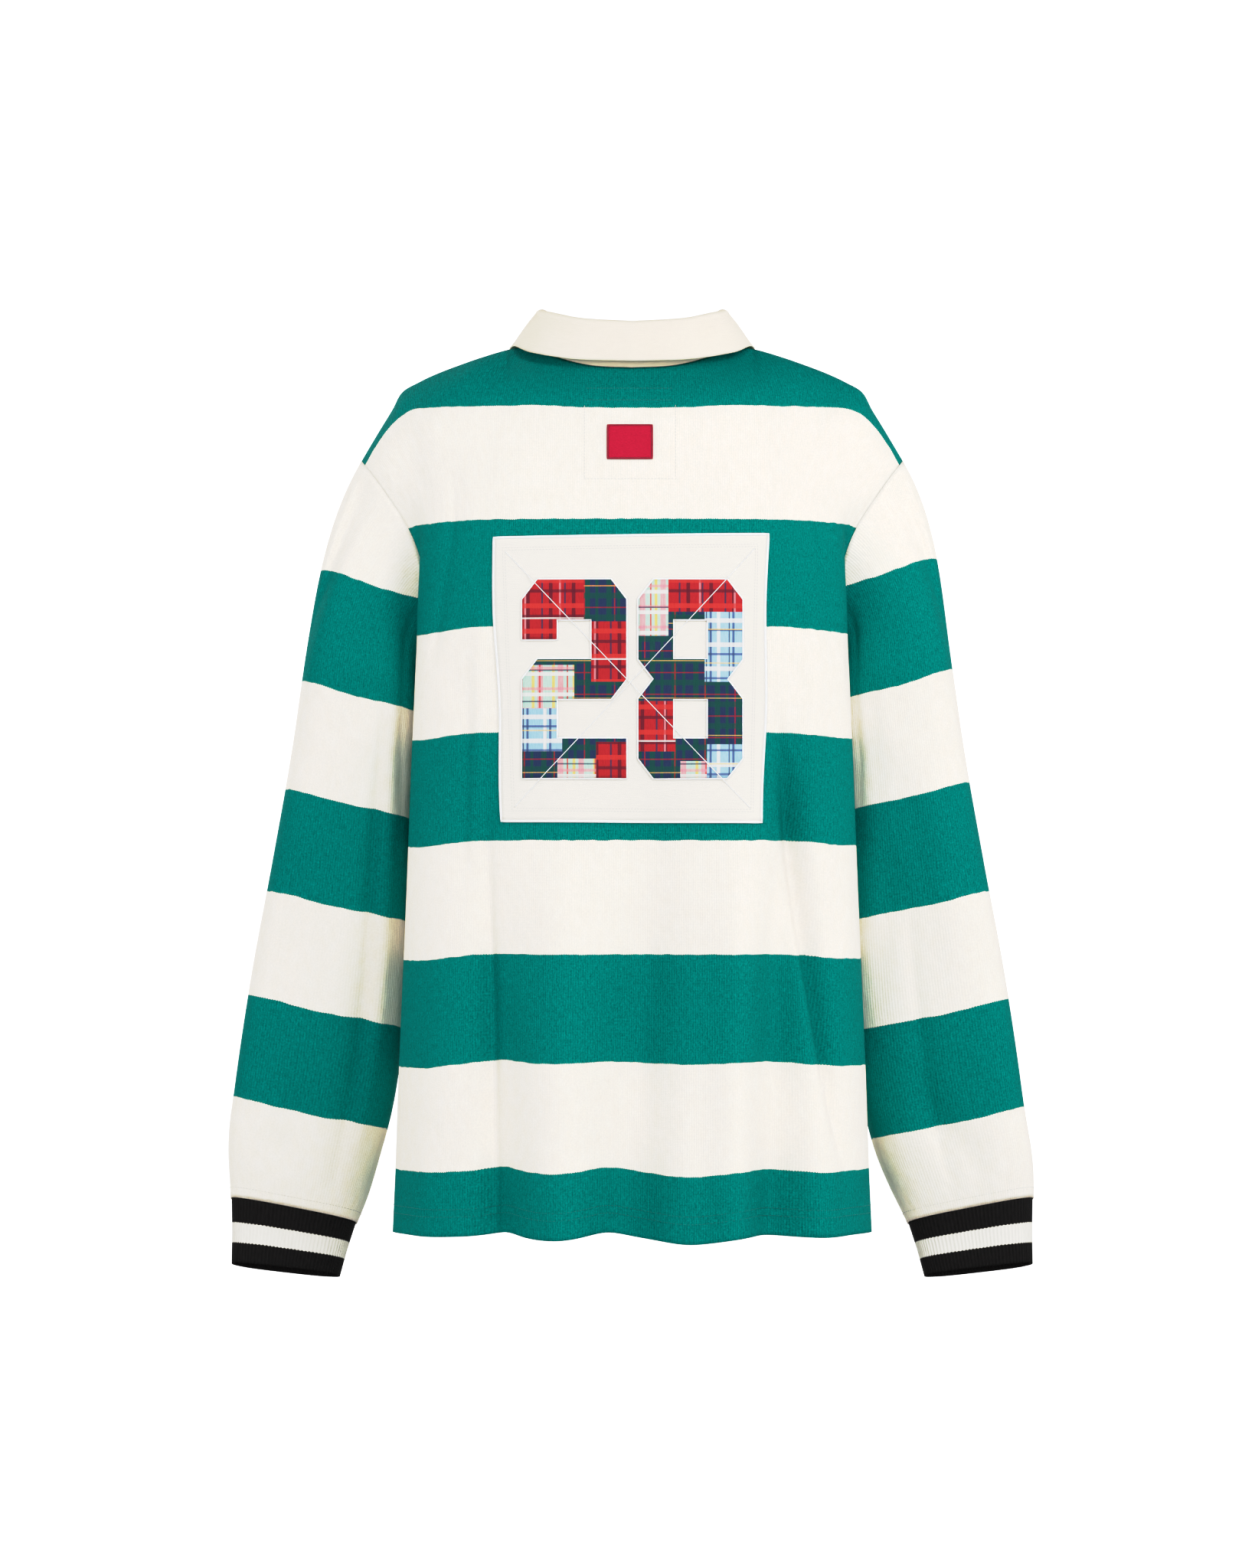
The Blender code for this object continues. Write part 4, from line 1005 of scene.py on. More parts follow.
def jersey(name, hoops, settings, band_first=True):
    """Cotton jersey with those hoops, from green up on the body and from cream on a sleeve."""
    green, cream = tuple(settings.green), tuple(settings.cream)
    paint = Paint(name, cream, 0.92, specular=0.02)
    u, v = paint.uv()
    seam = paint.seam()
    columns, loops = knit_relief(paint, u, v)
    fray = (columns - 0.5) * 0.0005 + (paint.noise(u / 0.012, v / 0.2) - 0.5) * 0.0022
    height = v + fray
    band = 1.0 if band_first else 0.0
    for n, edge in enumerate(hoops):
        step = height.climb(edge - 0.0003, edge + 0.0003)
        falls = (n % 2 == 0) == band_first
        band = band - step if falls else band + step
    streak = paint.noise(u / 0.0016, v / 0.0055, detail=3.0, roughness=0.6)
    lump = paint.noise(u / 0.05, v / 0.07, 3.0, detail=2.0)
    fleck = paint.noise(u / 0.0013, v / 0.0015, 7.0, detail=1.0)
    green_tone = 1.0 + (streak - 0.5) * 0.85 + (columns - 0.5) * 0.16 + (fleck - 0.5) * 0.95
    cream_tone = 0.985 + (streak - 0.5) * 0.12 + (lump - 0.5) * 0.06 + (fleck - 0.5) * 0.22
    yarn = paint.noise(u / 0.006, v / 0.012, 5.0, detail=3.0)
    warm = paint.mix(yarn, cream, settings.cream_warm)
    colour = paint.mix(band, paint.shade(warm, cream_tone), paint.shade(green, green_tone))
    # Painted shade: the colour is up to 6% darker within about a millimetre of a seam, where shade
    # falls into its crack.
    colour = paint.shade(colour, 0.94 + seam.climb(0.0002, 0.0012) * 0.06)
    relief = columns * 0.6 + loops * 0.25 + streak * 0.5
    valley = seam.climb(0.0, 0.0030)
    wrinkle = paint.noise(u / 0.035, v / 0.060, 11.0, detail=3.0, roughness=0.55)
    bumps = [(relief, 0.00022), (valley, 0.0003), (wrinkle, 0.0035)]
    return paint.finish(colour, bumps, 0.86 + (streak - 0.5) * 0.2)


def twill(name, rgb, warm, pitch=0.0011, tone=0.05):
    """Firm cotton twill with fine slanting ribs and clouds of a second colour."""
    paint = Paint(name, rgb, 0.88, specular=0.1)
    u, v = paint.uv()
    ribs = ((u + v * 0.8) / pitch).wave() * 0.5 + 0.5
    slub = paint.noise(u / 0.009, v / 0.0012, detail=3.0)
    cloud = paint.noise(u / 0.03, v / 0.03, 2.0, detail=2.0)
    colour = paint.mix(cloud, rgb, warm)
    colour = paint.shade(colour, 1.0 - tone / 2 + (slub - 0.5) * tone + (ribs - 0.5) * tone * 0.4)
    return paint.finish(colour, [(ribs, 0.00012), (slub, 0.0004)], 0.85 + (slub - 0.5) * 0.1)


def cuff_rib(name, black, cream):
    """Ribbed cuff: black, a cream band, and black."""
    paint = Paint(name, black, 0.92, specular=0.1)
    u, v = paint.uv()
    ribs = (u / 0.0024).wave() * 0.5 + 0.5
    height = v + (ribs - 0.5) * 0.0006 + (paint.noise(u / 0.02, v / 0.2) - 0.5) * 0.001
    start, end = (height.climb(edge, edge + 0.0006) for edge in CUFF_BANDS)
    streak = paint.noise(u / 0.0012, v / 0.006, detail=3.0)
    black_tone = 0.9 + (streak - 0.5) * 0.9 + (ribs - 0.5) * 0.25
    cream_tone = 0.98 + (streak - 0.5) * 0.08 + (ribs - 0.5) * 0.05
    light = paint.shade(cream, cream_tone)
    colour = paint.mix(start - end, paint.shade(black, black_tone), light)
    # Painted shade: the colour is up to 28% darker within about a millimetre of a seam, where shade
    # falls into its crack.
    colour = paint.shade(colour, 0.72 + paint.seam().climb(0.0002, 0.0011) * 0.28)
    return paint.finish(colour, [(ribs, 0.0005), (streak, 0.0003)], 0.88 + (streak - 0.5) * 0.1)


def thread(name, rgb, sheen=0.1):
    """Sewing or satin thread, with the threads lying across the band."""
    paint = Paint(name, rgb, 0.55, sheen=sheen, specular=0.4)
    u, v = paint.uv()
    strands = (v / 0.0006 + u / 0.004).wave() * 0.5 + 0.5
    uneven = paint.noise(v / 0.0012, u / 0.003, detail=2.0)
    colour = paint.shade(rgb, 0.98 + (strands - 0.5) * 0.05 + (uneven - 0.5) * 0.08)
    return paint.finish(colour, [(strands, 0.0002), (uneven, 0.0003)])


# Checks: the ground, then stripes of (period, start, width, colour) up the cloth and across it.
Check = namedtuple("Check", "ground upright level")
RED, NAVY, FOREST = linear((178, 50, 58)), linear((50, 66, 104)), linear((34, 92, 82))
SKY, MINT, PINK = linear((166, 192, 214)), linear((182, 208, 196)), linear((226, 158, 166))
YELLOW, WHITE, WINE = linear((226, 194, 120)), linear((232, 230, 228)), linear((112, 40, 58))
CORAL, BLUE = linear((210, 70, 66)), linear((66, 92, 138))
CHECKS = {
    "red": Check(
        RED,
        ((0.019, 0.002, 0.0030, WINE), (0.019, 0.010, 0.0013, NAVY), (0.029, 0.015, 0.0016, PINK)),
        (
            (0.021, 0.003, 0.0026, WINE),
            (0.021, 0.011, 0.0040, CORAL),
            (0.034, 0.018, 0.0014, WHITE),
        ),
    ),
    "navy": Check(
        NAVY,
        (
            (0.018, 0.002, 0.0024, FOREST),
            (0.018, 0.009, 0.0044, FOREST),
            (0.025, 0.014, 0.0010, RED),
        ),
        (
            (0.018, 0.001, 0.0046, FOREST),
            (0.018, 0.011, 0.0010, RED),
            (0.031, 0.022, 0.0008, YELLOW),
        ),
    ),
    "sky": Check(
        SKY,
        ((0.019, 0.003, 0.0018, BLUE), (0.019, 0.007, 0.0009, NAVY), (0.024, 0.015, 0.0026, WHITE)),
        (
            (0.020, 0.004, 0.0018, BLUE),
            (0.020, 0.011, 0.0036, WHITE),
            (0.028, 0.021, 0.0010, YELLOW),
        ),
    ),
    "pastel": Check(
        MINT,
        (
            (0.017, 0.003, 0.0046, PINK),
            (0.017, 0.010, 0.0024, YELLOW),
            (0.023, 0.018, 0.0012, CORAL),
        ),
        ((0.017, 0.005, 0.0030, WHITE), (0.017, 0.010, 0.0024, PINK), (0.026, 0.015, 0.0012, NAVY)),
    ),
}
# Blocks of the patchwork on navy: check, from and to in u, from and to in v. The last to cover
# a place wins.
BLOCKS = (
    ("red", 0.040, 0.100, 0.492, 0.560),
    ("navy", 0.000, 0.040, 0.512, 0.560),
    ("red", 0.000, 0.034, 0.462, 0.512),
    ("pastel", 0.048, 0.100, 0.440, 0.476),
    ("sky", 0.058, 0.100, 0.404, 0.440),
    ("red", 0.000, 0.030, 0.370, 0.412),
    ("pastel", 0.030, 0.062, 0.370, 0.398),
    ("red", -0.100, -0.030, 0.520, 0.560),
    ("pastel", -0.030, 0.000, 0.500, 0.560),
    ("sky", -0.100, -0.060, 0.462, 0.520),
    ("red", -0.036, 0.000, 0.404, 0.446),
    ("sky", -0.100, -0.062, 0.370, 0.410),
    ("pastel", -0.062, -0.040, 0.370, 0.396),
)


def within_edges(place, start, end, soft):
    """1 from start to end, with soft edges."""
    return place.climb(start, start + soft) - place.climb(end, end + soft)


def patchwork(name):
    """Cotton checks of several kinds, pieced in blocks."""
    paint = Paint(name, RED, 0.85, specular=0.12)
    u, v = paint.uv()
    colours = {}
    for kind, check in CHECKS.items():
        colour = check.ground
        for stripes, place, strength in ((check.upright, u, 0.80), (check.level, v, 0.72)):
            for period, start, width, rgb in stripes:
                phase = ((place + 1.0) / period).part() * period
                cover = within_edges(phase, start, start + width, 0.0003)
                colour = paint.mix(cover * strength, colour, rgb)
        colours[kind] = colour
    pieced = colours["navy"]
    for check, left, right, foot, top in BLOCKS:
        within = within_edges(u, left, right, 0.0002) * within_edges(v, foot, top, 0.0002)
        pieced = paint.mix(within, pieced, colours[check])
    weave = (u / 0.0007).wave() * (v / 0.0007).wave()
    slub = paint.noise(u / 0.0011, v / 0.006, detail=2.0)
    colour = paint.shade(pieced, 0.97 + weave * 0.05 + (slub - 0.5) * 0.22)
    return paint.finish(colour, [(weave, 0.0001), (slub, 0.0003)])


def woven_label(name, rgb):
    """Damask label."""
    paint = Paint(name, rgb, 0.75, specular=0.15)
    u, v = paint.uv()
    weave = (u / 0.0008).wave() * (v / 0.0011).wave()
    slub = paint.noise(u / 0.002, v / 0.0012, detail=2.0)
    colour = paint.shade(rgb, 0.98 + weave * 0.08 + (slub - 0.5) * 0.35)
    return paint.finish(colour, [(weave, 0.0002), (slub, 0.0003)])


def rubber(name, rgb):
    """Moulded rubber."""
    paint = Paint(name, rgb, 0.5, specular=0.4)
    place = paint.value("ShaderNodeTexCoord", output="Object")
    sockets = {"Vector": place, "Scale": 900.0, "Detail": 2.0}
    grain = paint.value("ShaderNodeTexNoise", sockets, "Fac")
    colour = paint.shade(rgb, 0.95 + grain * 0.08)
    return paint.finish(colour, [(grain, 0.0001)], 0.45 + grain * 0.12)


# ---------------------------------------------------------------- settings


def colour_property(name, rgb, description):
    return bpy.props.FloatVectorProperty(
        name=name, description=description, subtype="COLOR", size=3, min=0, max=1,
        default=linear(rgb),
    )


def number_property(name, default, description, **limits):
    return bpy.props.FloatProperty(name=name, description=description, default=default, **limits)


class ShirtSettings(bpy.types.PropertyGroup):
    """Colours of the cloth and thread, and the thickness and fineness of the cloth."""

    green: colour_property("Green", (0, 127, 121), "Dark hoops of the jersey")
    cream: colour_property("Cream", (238, 233, 224), "Light hoops of the jersey")
    cream_warm: colour_property("Cream shadow", (232, 221, 201), "Warmer yarns in the light hoops")
    collar: colour_property("Collar", (232, 221, 202), "Twill of the collar and placket")
    collar_warm: colour_property("Collar shadow", (228, 214, 191), "Warmer yarns in the twill")
    patch: colour_property("Patch", (231, 225, 213), "Twill patch behind the number")
    cuff_black: colour_property("Cuff dark", (27, 26, 26), "Dark bands of the cuffs")
    cuff_cream: colour_property("Cuff light", (228, 224, 214), "Light band of the cuffs")
    label_red: colour_property("Label", (190, 33, 72), "Woven label at the back of the neck")
    satin: colour_property("Satin thread", (252, 253, 255), "Edges of the patch and the figures")
    button: colour_property("Buttons", (204, 194, 174), "Rubber buttons")
    jersey_thickness: number_property(
        "Jersey", 0.0013, "Thickness of the knitted cloth", min=0.0005, max=0.003, unit="LENGTH"
    )
    spacing: number_property(
        "Mesh spacing", 0.0037, "Distance between points of the cloth",
        min=0.002, max=0.02, unit="LENGTH",
    )


class StageSettings(bpy.types.PropertyGroup):
    """Floor, lights and camera."""

    floor: number_property("Floor", -1.60, "Height of the floor", unit="LENGTH")
    distance: number_property(
        "Camera distance", 6.0, "From the camera to the shirt", min=1.0, unit="LENGTH"
    )
    backdrop: colour_property("Backdrop", (190, 190, 190), "Floor and backdrop")
    glow: number_property("Backdrop glow", 0.92, "Light that the backdrop gives off", min=0)
    sky: number_property("Room light", 0.03, "Even light from all round", min=0)
    key: number_property("Main light", 62.0, "Softbox on the wearer's right", min=0, unit="POWER")
    fill: number_property("Fill light", 21.0, "Softbox on the wearer's left", min=0, unit="POWER")
    front: number_property("Camera light", 28.0, "Softbox above the camera", min=0, unit="POWER")
    rim: number_property("Side lights", 16.0, "Softboxes level with each side", min=0, unit="POWER")
    top: number_property("Top light", 19.0, "Softbox overhead", min=0, unit="POWER")


# How the camera shows light: as it is where it is dim, and held back towards white.
FILM_TONES = ((0.26, 0.26), (0.50, 0.70), (0.80, 0.88), (0.95, 0.96))
FLOOR_RADIUS = 9.0
SWEEP_RADIUS = 3.0  # of the curve from the floor up into the wall
WALL_HEIGHT = 9.0
LENS = 27.042  # focal length in mm for each metre between the camera and the shirt
CAMERA_X, CAMERA_Z, AIM_Z = 0.004, -0.455, -0.373
LIGHTS_AIM = Vector((0.0, 0.0, -0.4))

shapes = {}  # the panels and sleeves, once worked out


def panels():
    """The back and front, worked out once."""
    if "back" not in shapes:
        spacing = bpy.context.scene.shirt.spacing
        shapes["back"] = Panel(True, spacing)
        shapes["front"] = Panel(False, spacing)
    return shapes["back"], shapes["front"]


def sleeves():
    """Each sleeve's grid on its own side, with its angles and v."""
    if "sleeves" not in shapes:
        back, front = panels()
        spacing = bpy.context.scene.shirt.spacing
        made = {}
        for name, side, creases in (
            ("left", 1, LEFT_SLEEVE_CREASES),
            ("right", -1, RIGHT_SLEEVE_CREASES),
        ):
            loop, leaving, armpit = armhole_loop(back, front, side)
            grid, angles, v = sleeve_grid(loop, leaving, armpit, side * SWAY, spacing, creases)
            made[name] = (grid * (side, 1, 1), angles, v, side)
        shapes["sleeves"] = made
    return shapes["sleeves"]


def material(name, make, *inputs, **choices):
    """The named material, made by that function the first time."""
    return bpy.data.materials.get(name) or make(name, *inputs, **choices)


def satin_white():
    return material("satin_white", thread, tuple(bpy.context.scene.shirt.satin))


def collar_twill():
    s = bpy.context.scene.shirt
    return material("collar_cloth", twill, tuple(s.collar), tuple(s.collar_warm))


def darker(rgb, share):
    return tuple(share * c for c in rgb)


def cloth_line(panel, corners, step, lift=0.0, loop=False):
    """A line over a panel through corners in u and v, as points and normals."""
    corners = np.array(corners, float)
    if loop:
        corners = np.concatenate([corners, corners[:1]])
    runs = []
    for a, b in zip(corners[:-1], corners[1:]):
        places = even(0.0, 1.0, step / max(np.linalg.norm(b - a), 1e-6))
        runs.append(a + (b - a) * places[:-1, None])
    flat = np.concatenate(runs + ([] if loop else [corners[-1:]]))
    return panel.at(flat[:, 0], flat[:, 1], lift)


# ---------------------------------------------------------------- operators


class Build:
    """What the operators share."""

    bl_options = {"REGISTER", "UNDO"}

    @classmethod
    def poll(cls, context):
        return context.scene is not None


def backdrop_white(s):
    """Pale paint, which gives off light where the far wall is seen behind the shirt."""
    paint = Paint("backdrop_white", tuple(s.backdrop), 0.9, specular=0.1)
    x, y, height = paint.split(paint.value("ShaderNodeTexCoord", output="Object"))
    far = ((x * x + y * y) ** 0.5).climb(4.6, 5.8)
    lit = paint.mix(far * (1.0 - height.climb(3.0, 4.4)), (0.0, 0.0, 0.0), (1.0, 1.0, 1.0))
    paint.plug(paint.shader.inputs["Emission Color"], lit)
    paint.plug(paint.shader.inputs["Emission Strength"], s.glow)
    return paint.material


def shaped_floor(context, level):
    """A round floor that sweeps up into a wall, with its faces inwards."""
    bpy.ops.object.select_all(action="DESELECT")
    bpy.ops.mesh.primitive_circle_add(
        vertices=96, radius=FLOOR_RADIUS, fill_type="NGON", location=(0, 0, level)
    )
    floor = context.object
    floor.name = "studio_floor"
    bpy.ops.object.mode_set(mode="EDIT")
    bpy.ops.mesh.select_all(action="SELECT")
    angles = np.linspace(0, math.pi / 2, 13)
    rises = SWEEP_RADIUS * (1 - np.cos(angles))
    radii = FLOOR_RADIUS + SWEEP_RADIUS * np.sin(angles)
    steps = list(zip(rises, radii)) + [(WALL_HEIGHT, FLOOR_RADIUS + SWEEP_RADIUS)]
    bpy.ops.mesh.region_to_loop()
    for (low, wide), (high, wider) in zip(steps, steps[1:]):
        bpy.ops.mesh.extrude_edges_move(TRANSFORM_OT_translate={"value": (0, 0, high - low)})
        grow = wider / wide
        bpy.ops.transform.resize(value=(grow, grow, 1.0), center_override=(0, 0, 0))
    bpy.ops.mesh.select_all(action="SELECT")
    bpy.ops.mesh.normals_make_consistent(inside=True)
    bpy.ops.object.mode_set(mode="OBJECT")
    floor.data.transform(floor.matrix_world)
    floor.matrix_world = Matrix.Identity(4)
    floor.data.shade_smooth()
    return floor


def added(context, name, data, place, target):
    """A light or camera at a place, turned to look at a target."""
    made = bpy.data.objects.new(name, data)
    context.scene.collection.objects.link(made)
    made.location = place
    made.rotation_euler = (target - Vector(place)).to_track_quat("-Z", "Y").to_euler()
    return made


class SHIRT_OT_stage(Build, bpy.types.Operator):
    """Pale floor and backdrop all round, soft lights, and the camera behind the shirt"""

    bl_idname = "shirt.stage"
    bl_label = "Stage"

    def execute(self, context):
        s = context.scene.stage
        floor = shaped_floor(context, s.floor)
        floor.data.materials.append(backdrop_white(s))

        world = bpy.data.worlds.new("studio_world")
        world.use_nodes = True
        world.node_tree.nodes["Background"].inputs["Color"].default_value = (1, 1, 1, 1)
        world.node_tree.nodes["Background"].inputs["Strength"].default_value = s.sky
        context.scene.world = world
        view = context.scene.view_settings
        view.view_transform = "Standard"
        view.use_curve_mapping = True
        tones = view.curve_mapping.curves[3]
        for light, shown in FILM_TONES:
            tones.points.new(light, shown)
        view.curve_mapping.update()

        for name, place, size, power in (
            ("main_softbox", (-2.1, 3.3, 1.9), 1.2, s.key),
            ("fill_softbox", (1.2, 4.4, 0.8), 1.4, s.fill),
            ("camera_softbox", (-0.6, 6.6, 0.0), 2.0, s.front),
            ("top_softbox", (-0.3, 1.8, 2.6), 1.6, s.top),
            ("rim_left", (3.2, 0.3, 0.3), 1.4, s.rim),
            ("rim_right", (-3.2, 0.3, 0.3), 1.4, s.rim),
            ("far_softbox", (2.1, -3.3, 1.9), 1.2, s.key),
            ("far_fill", (-1.2, -4.4, 0.8), 1.4, s.fill),
            ("far_front", (0.6, -6.6, 0.0), 2.0, s.front),
        ):
            lamp = bpy.data.lights.new(name, "AREA")
            lamp.size = size
            lamp.energy = power
            added(context, name, lamp, place, LIGHTS_AIM)

        camera = bpy.data.cameras.new("camera")
        camera.sensor_width = 36.0
        camera.lens = LENS * s.distance
        place, target = (CAMERA_X, s.distance, CAMERA_Z), Vector((CAMERA_X, 0.0, AIM_Z))
        context.scene.camera = added(context, "camera", camera, place, target)
        return {"FINISHED"}


class SHIRT_OT_body(Build, bpy.types.Operator):
    """Back and front of hooped jersey"""

    bl_idname = "shirt.body"
    bl_label = "Body"

    def execute(self, context):
        s = context.scene.shirt
        back, front = panels()
        knit = material("hooped_knit", jersey, HOOPS, s)
        for name, panel, flat, area in (
            ("back", back, (0.551, 0.775), 0.385),
            ("front", front, (0.551, 0.770), 0.375),
        ):
            piece = grid_piece(
                name + "_cloth", panel.grid, panel.across, panel.knitted(), knit,
                flip=not panel.back,
            )
            edges = [panel.grid[:, 0], panel.grid[:, -1], panel.grid[-1, :]]
            mark_seams(piece, panel.grid, edges)
            stand_in(piece, name, s.jersey_thickness)
        return {"FINISHED"}


class SHIRT_OT_sleeves(Build, bpy.types.Operator):
    """Long sleeves of hooped jersey, with hoops of their own"""

    bl_idname = "shirt.sleeves"
    bl_label = "Sleeves"

    def execute(self, context):
        s = context.scene.shirt
        for name, (grid, angles, v, side) in sleeves().items():
            hoops = LEFT_HOOPS if side > 0 else RIGHT_HOOPS
            knit = material("hooped_knit_" + name, jersey, hoops, s, band_first=False)
            piece = arm_cloth(
                "sleeve_" + name, grid, angles, v, SLEEVE_GIRTH, side, knit,
                s.jersey_thickness, ends=(grid[0], grid[-1]),
            )
        return {"FINISHED"}


class SHIRT_OT_cuffs(Build, bpy.types.Operator):
    """Ribbed cuffs"""

    bl_idname = "shirt.cuffs"
    bl_label = "Cuffs"

    def execute(self, context):
        s = context.scene.shirt
        rib = material("cuff_knit", cuff_rib, tuple(s.cuff_black), tuple(s.cuff_cream))
        for name, (_, angles, _, side) in sleeves().items():
            grid, down = arm_tube(CUFF_RINGS, CUFF_ROWS, angles)
            v = (down[-1] - down)[:, None] + 0 * angles[None, :]
            piece = arm_cloth(
                "cuff_" + name, grid * (side, 1, 1), angles, v, CUFF_GIRTH, side, rib,
                RIB,
            )
            "sleeve_%s_cloth" % name
        return {"FINISHED"}


class SHIRT_OT_collar(Build, bpy.types.Operator):
    """Turned-down collar of twill, on its stand"""

    bl_idname = "shirt.collar"
    bl_label = "Collar"

    def execute(self, context):
        back, front = panels()
        stand, leaf = collar_faces(neck_edge(back, front))
        cloth = collar_twill()
        for name, grid, flat, area in (
            ("collar_stand", stand, (0.420, 0.040), 0.0138),
            ("collar_leaf", leaf, (0.460, 0.090), 0.0317),
        ):
            u = np.array([along(row) - along(row)[-1] / 2 for row in grid])
            v = np.array([along(grid[:, j]) for j in range(grid.shape[1])]).T
            piece = grid_piece(name + "_cloth", grid, u, v, cloth)
            stand_in(piece, name, TWILL)
        return {"FINISHED"}


def faces_up(mesh, height):
    """Selects the faces that look up at that height, and no others."""
    bpy.ops.mesh.select_all(action="DESELECT")
    bpy.ops.object.mode_set(mode="OBJECT")
    for face in mesh.polygons:
        face.select = face.normal.z > 0.9 and abs(face.center.z - height) < 1e-5
    bpy.ops.object.mode_set(mode="EDIT")


def shaped_button(context):
    """A button facing +Z at the origin: a rim, a dished middle and four holes."""
    bpy.ops.object.select_all(action="DESELECT")
    bpy.ops.mesh.primitive_cylinder_add(vertices=40, radius=BUTTON_RADIUS, depth=BUTTON_THICK)
    button = context.object
    bpy.ops.object.mode_set(mode="EDIT")
    bpy.ops.mesh.select_mode(type="FACE")
    faces_up(button.data, BUTTON_THICK / 2)
    bpy.ops.mesh.inset(thickness=0.0013)
    bpy.ops.mesh.inset(thickness=0.0007, depth=-0.0008)
    bpy.ops.object.mode_set(mode="OBJECT")
    rim = button.modifiers.new("rim", "BEVEL")
    rim.width = 0.0004
    rim.segments = 3
    rim.limit_method = "ANGLE"
    bpy.ops.object.modifier_apply(modifier="rim")
    bpy.ops.object.select_all(action="DESELECT")
    bpy.ops.mesh.primitive_cylinder_add(
        vertices=12, radius=0.0006, depth=0.006, location=(BUTTON_HOLE, BUTTON_HOLE, 0.0)
    )
    drill = context.object
    bpy.ops.object.transform_apply(location=True)
    bpy.ops.object.mode_set(mode="EDIT")
    bpy.ops.mesh.select_all(action="SELECT")
    for shift in ((-2 * BUTTON_HOLE, 0, 0), (0, -2 * BUTTON_HOLE, 0), (2 * BUTTON_HOLE, 0, 0)):
        bpy.ops.mesh.duplicate_move(TRANSFORM_OT_translate={"value": shift})
    bpy.ops.object.mode_set(mode="OBJECT")
    bpy.ops.object.select_all(action="DESELECT")
    context.view_layer.objects.active = button
    button.select_set(True)
    holes = button.modifiers.new("holes", "BOOLEAN")
    holes.object = drill
    bpy.ops.object.modifier_apply(modifier="holes")
    bpy.data.objects.remove(drill)
    bpy.ops.object.shade_smooth_by_angle(angle=math.radians(40))
    return button


def placket_top(front):
    """v of the neck edge at the centre front."""
    return float(front.height[-1, len(front.marks) // 2])


def button_place(front, name):
    """Where a button's node is, turned to face as the front does there, with the front's normal
    and v."""
    low, high = (np.array(corner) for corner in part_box(name))
    centre = (low + high) / 2
    middle = len(front.marks) // 2
    level = np.interp(centre[2], front.grid[:, middle, 2], front.height[:, middle])
    _, normals = front.at(0.0, level)
    turned = Vector(normals[0]).to_track_quat("Z", "Y").to_matrix().to_4x4()
    return Matrix.Translation(centre) @ turned, normals, level


class SHIRT_OT_placket(Build, bpy.types.Operator):
    """Half placket at the front neck, with three rubber buttons"""

    bl_idname = "shirt.placket"
    bl_label = "Placket and buttons"

    def execute(self, context):
        _, front = panels()
        cloth = collar_twill()
        top = placket_top(front)
        u, v = np.meshgrid(
            even(-PLACKET_HALF, PLACKET_HALF, 0.0035),
            even(top - PLACKET_LENGTH, top - SEAM_GAP, 0.004),
        )
        piece = laid_cloth(
            "placket", front, u, v, PLACKET_LIFT, cloth, TWILL, flip=True
        )

        moulded = material("rubber", rubber, tuple(context.scene.shirt.button))
        satin = satin_white()
        pattern = shaped_button(context)
        ties, holes = [], []
        for name in ("button_1", "button_2", "button_3"):
            place, normals, level = button_place(front, name)
            mesh = pattern.data.copy()
            mesh.name = name + "_moulding"
            mesh.transform(place)
            mesh.materials.append(moulded)
            button = bpy.data.objects.new(name + "_moulding", mesh)
            context.scene.collection.objects.link(button)
            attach(button, "root")
            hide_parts(name)
            for y in (-BUTTON_HOLE, BUTTON_HOLE):
                arch = [
                    place @ Vector((BUTTON_HOLE * t, y, BUTTON_THICK / 2 - TIE_ARCH * t**4))
                    for t in np.linspace(-1, 1, 9)
                ]
                ties.append((np.array(arch), np.repeat(normals, len(arch), axis=0)))
            turn = np.linspace(0, 2 * math.pi, 41)[:-1]
            across, up = SLIT_HALF_WIDTH * np.sin(turn), SLIT_HALF_LENGTH * np.cos(turn)
            holes.append(front.at(across, level + up, PLACKET_LIFT + HAIR))
        bpy.data.objects.remove(pattern)
        swept("button_thread", ties, BUTTON_THREAD, satin)
        swept("buttonholes", holes, HOLE_BINDING, satin, loop=True)
        return {"FINISHED"}


FIGURES = {
    "figure_left": (
        ((0, 7), (0, 9), (1, 10), (5, 10), (6, 9), (6, 5), (5, 4), (2, 4), (2, 2), (6, 2),
         (6, 0), (0, 0), (0, 5), (1, 6), (4, 6), (4, 8), (2, 8), (2, 7)),
    ),
    "figure_right": (
        ((0, 6), (0, 9), (1, 10), (5, 10), (6, 9), (6, 6), (5, 5), (6, 4), (6, 1), (5, 0),
         (1, 0), (0, 1), (0, 4), (1, 5)),
        ((2, 6), (4, 6), (4, 8), (2, 8)),
        ((2, 2), (4, 2), (4, 4), (2, 4)),
    ),
}  # fmt: skip
FIGURE_CHARTS = {
    "figure_left": (
        "T####F", "######", "##..##", "....##", "T#####",
        "#####L", "##....", "##....", "######", "######",
    ),
    "figure_right": (
        "T####F", "######", "##..##", "##..##", "R####L",
        "T####F", "##..##", "##..##", "######", "R####L",
    ),
}  # fmt: skip
# The patch's corners: foot left, top left, top right, foot right.
PATCH_CORNERS = np.array(
    ((0.1090, 0.3462), (0.1172, 0.5822), (-0.1135, 0.5852), (-0.1092, 0.3452))
)
PATCH_DIAGONALS = (PATCH_CORNERS[[0, 2]], PATCH_CORNERS[[3, 1]])
FINE = 5  # parts that each cell of a figure is split into, each way


def figure_flat(name, x, y):
    """u and v of a place on a figure: cells from its left edge, as seen from behind, and from
    its foot."""
    columns = np.array(FIGURE_COLUMNS[::-1])
    if name == "figure_right":
        columns = -np.array(FIGURE_COLUMNS)
    return np.interp(x, np.arange(7), columns), FIGURE_FOOT + np.asarray(y) * FIGURE_ROW


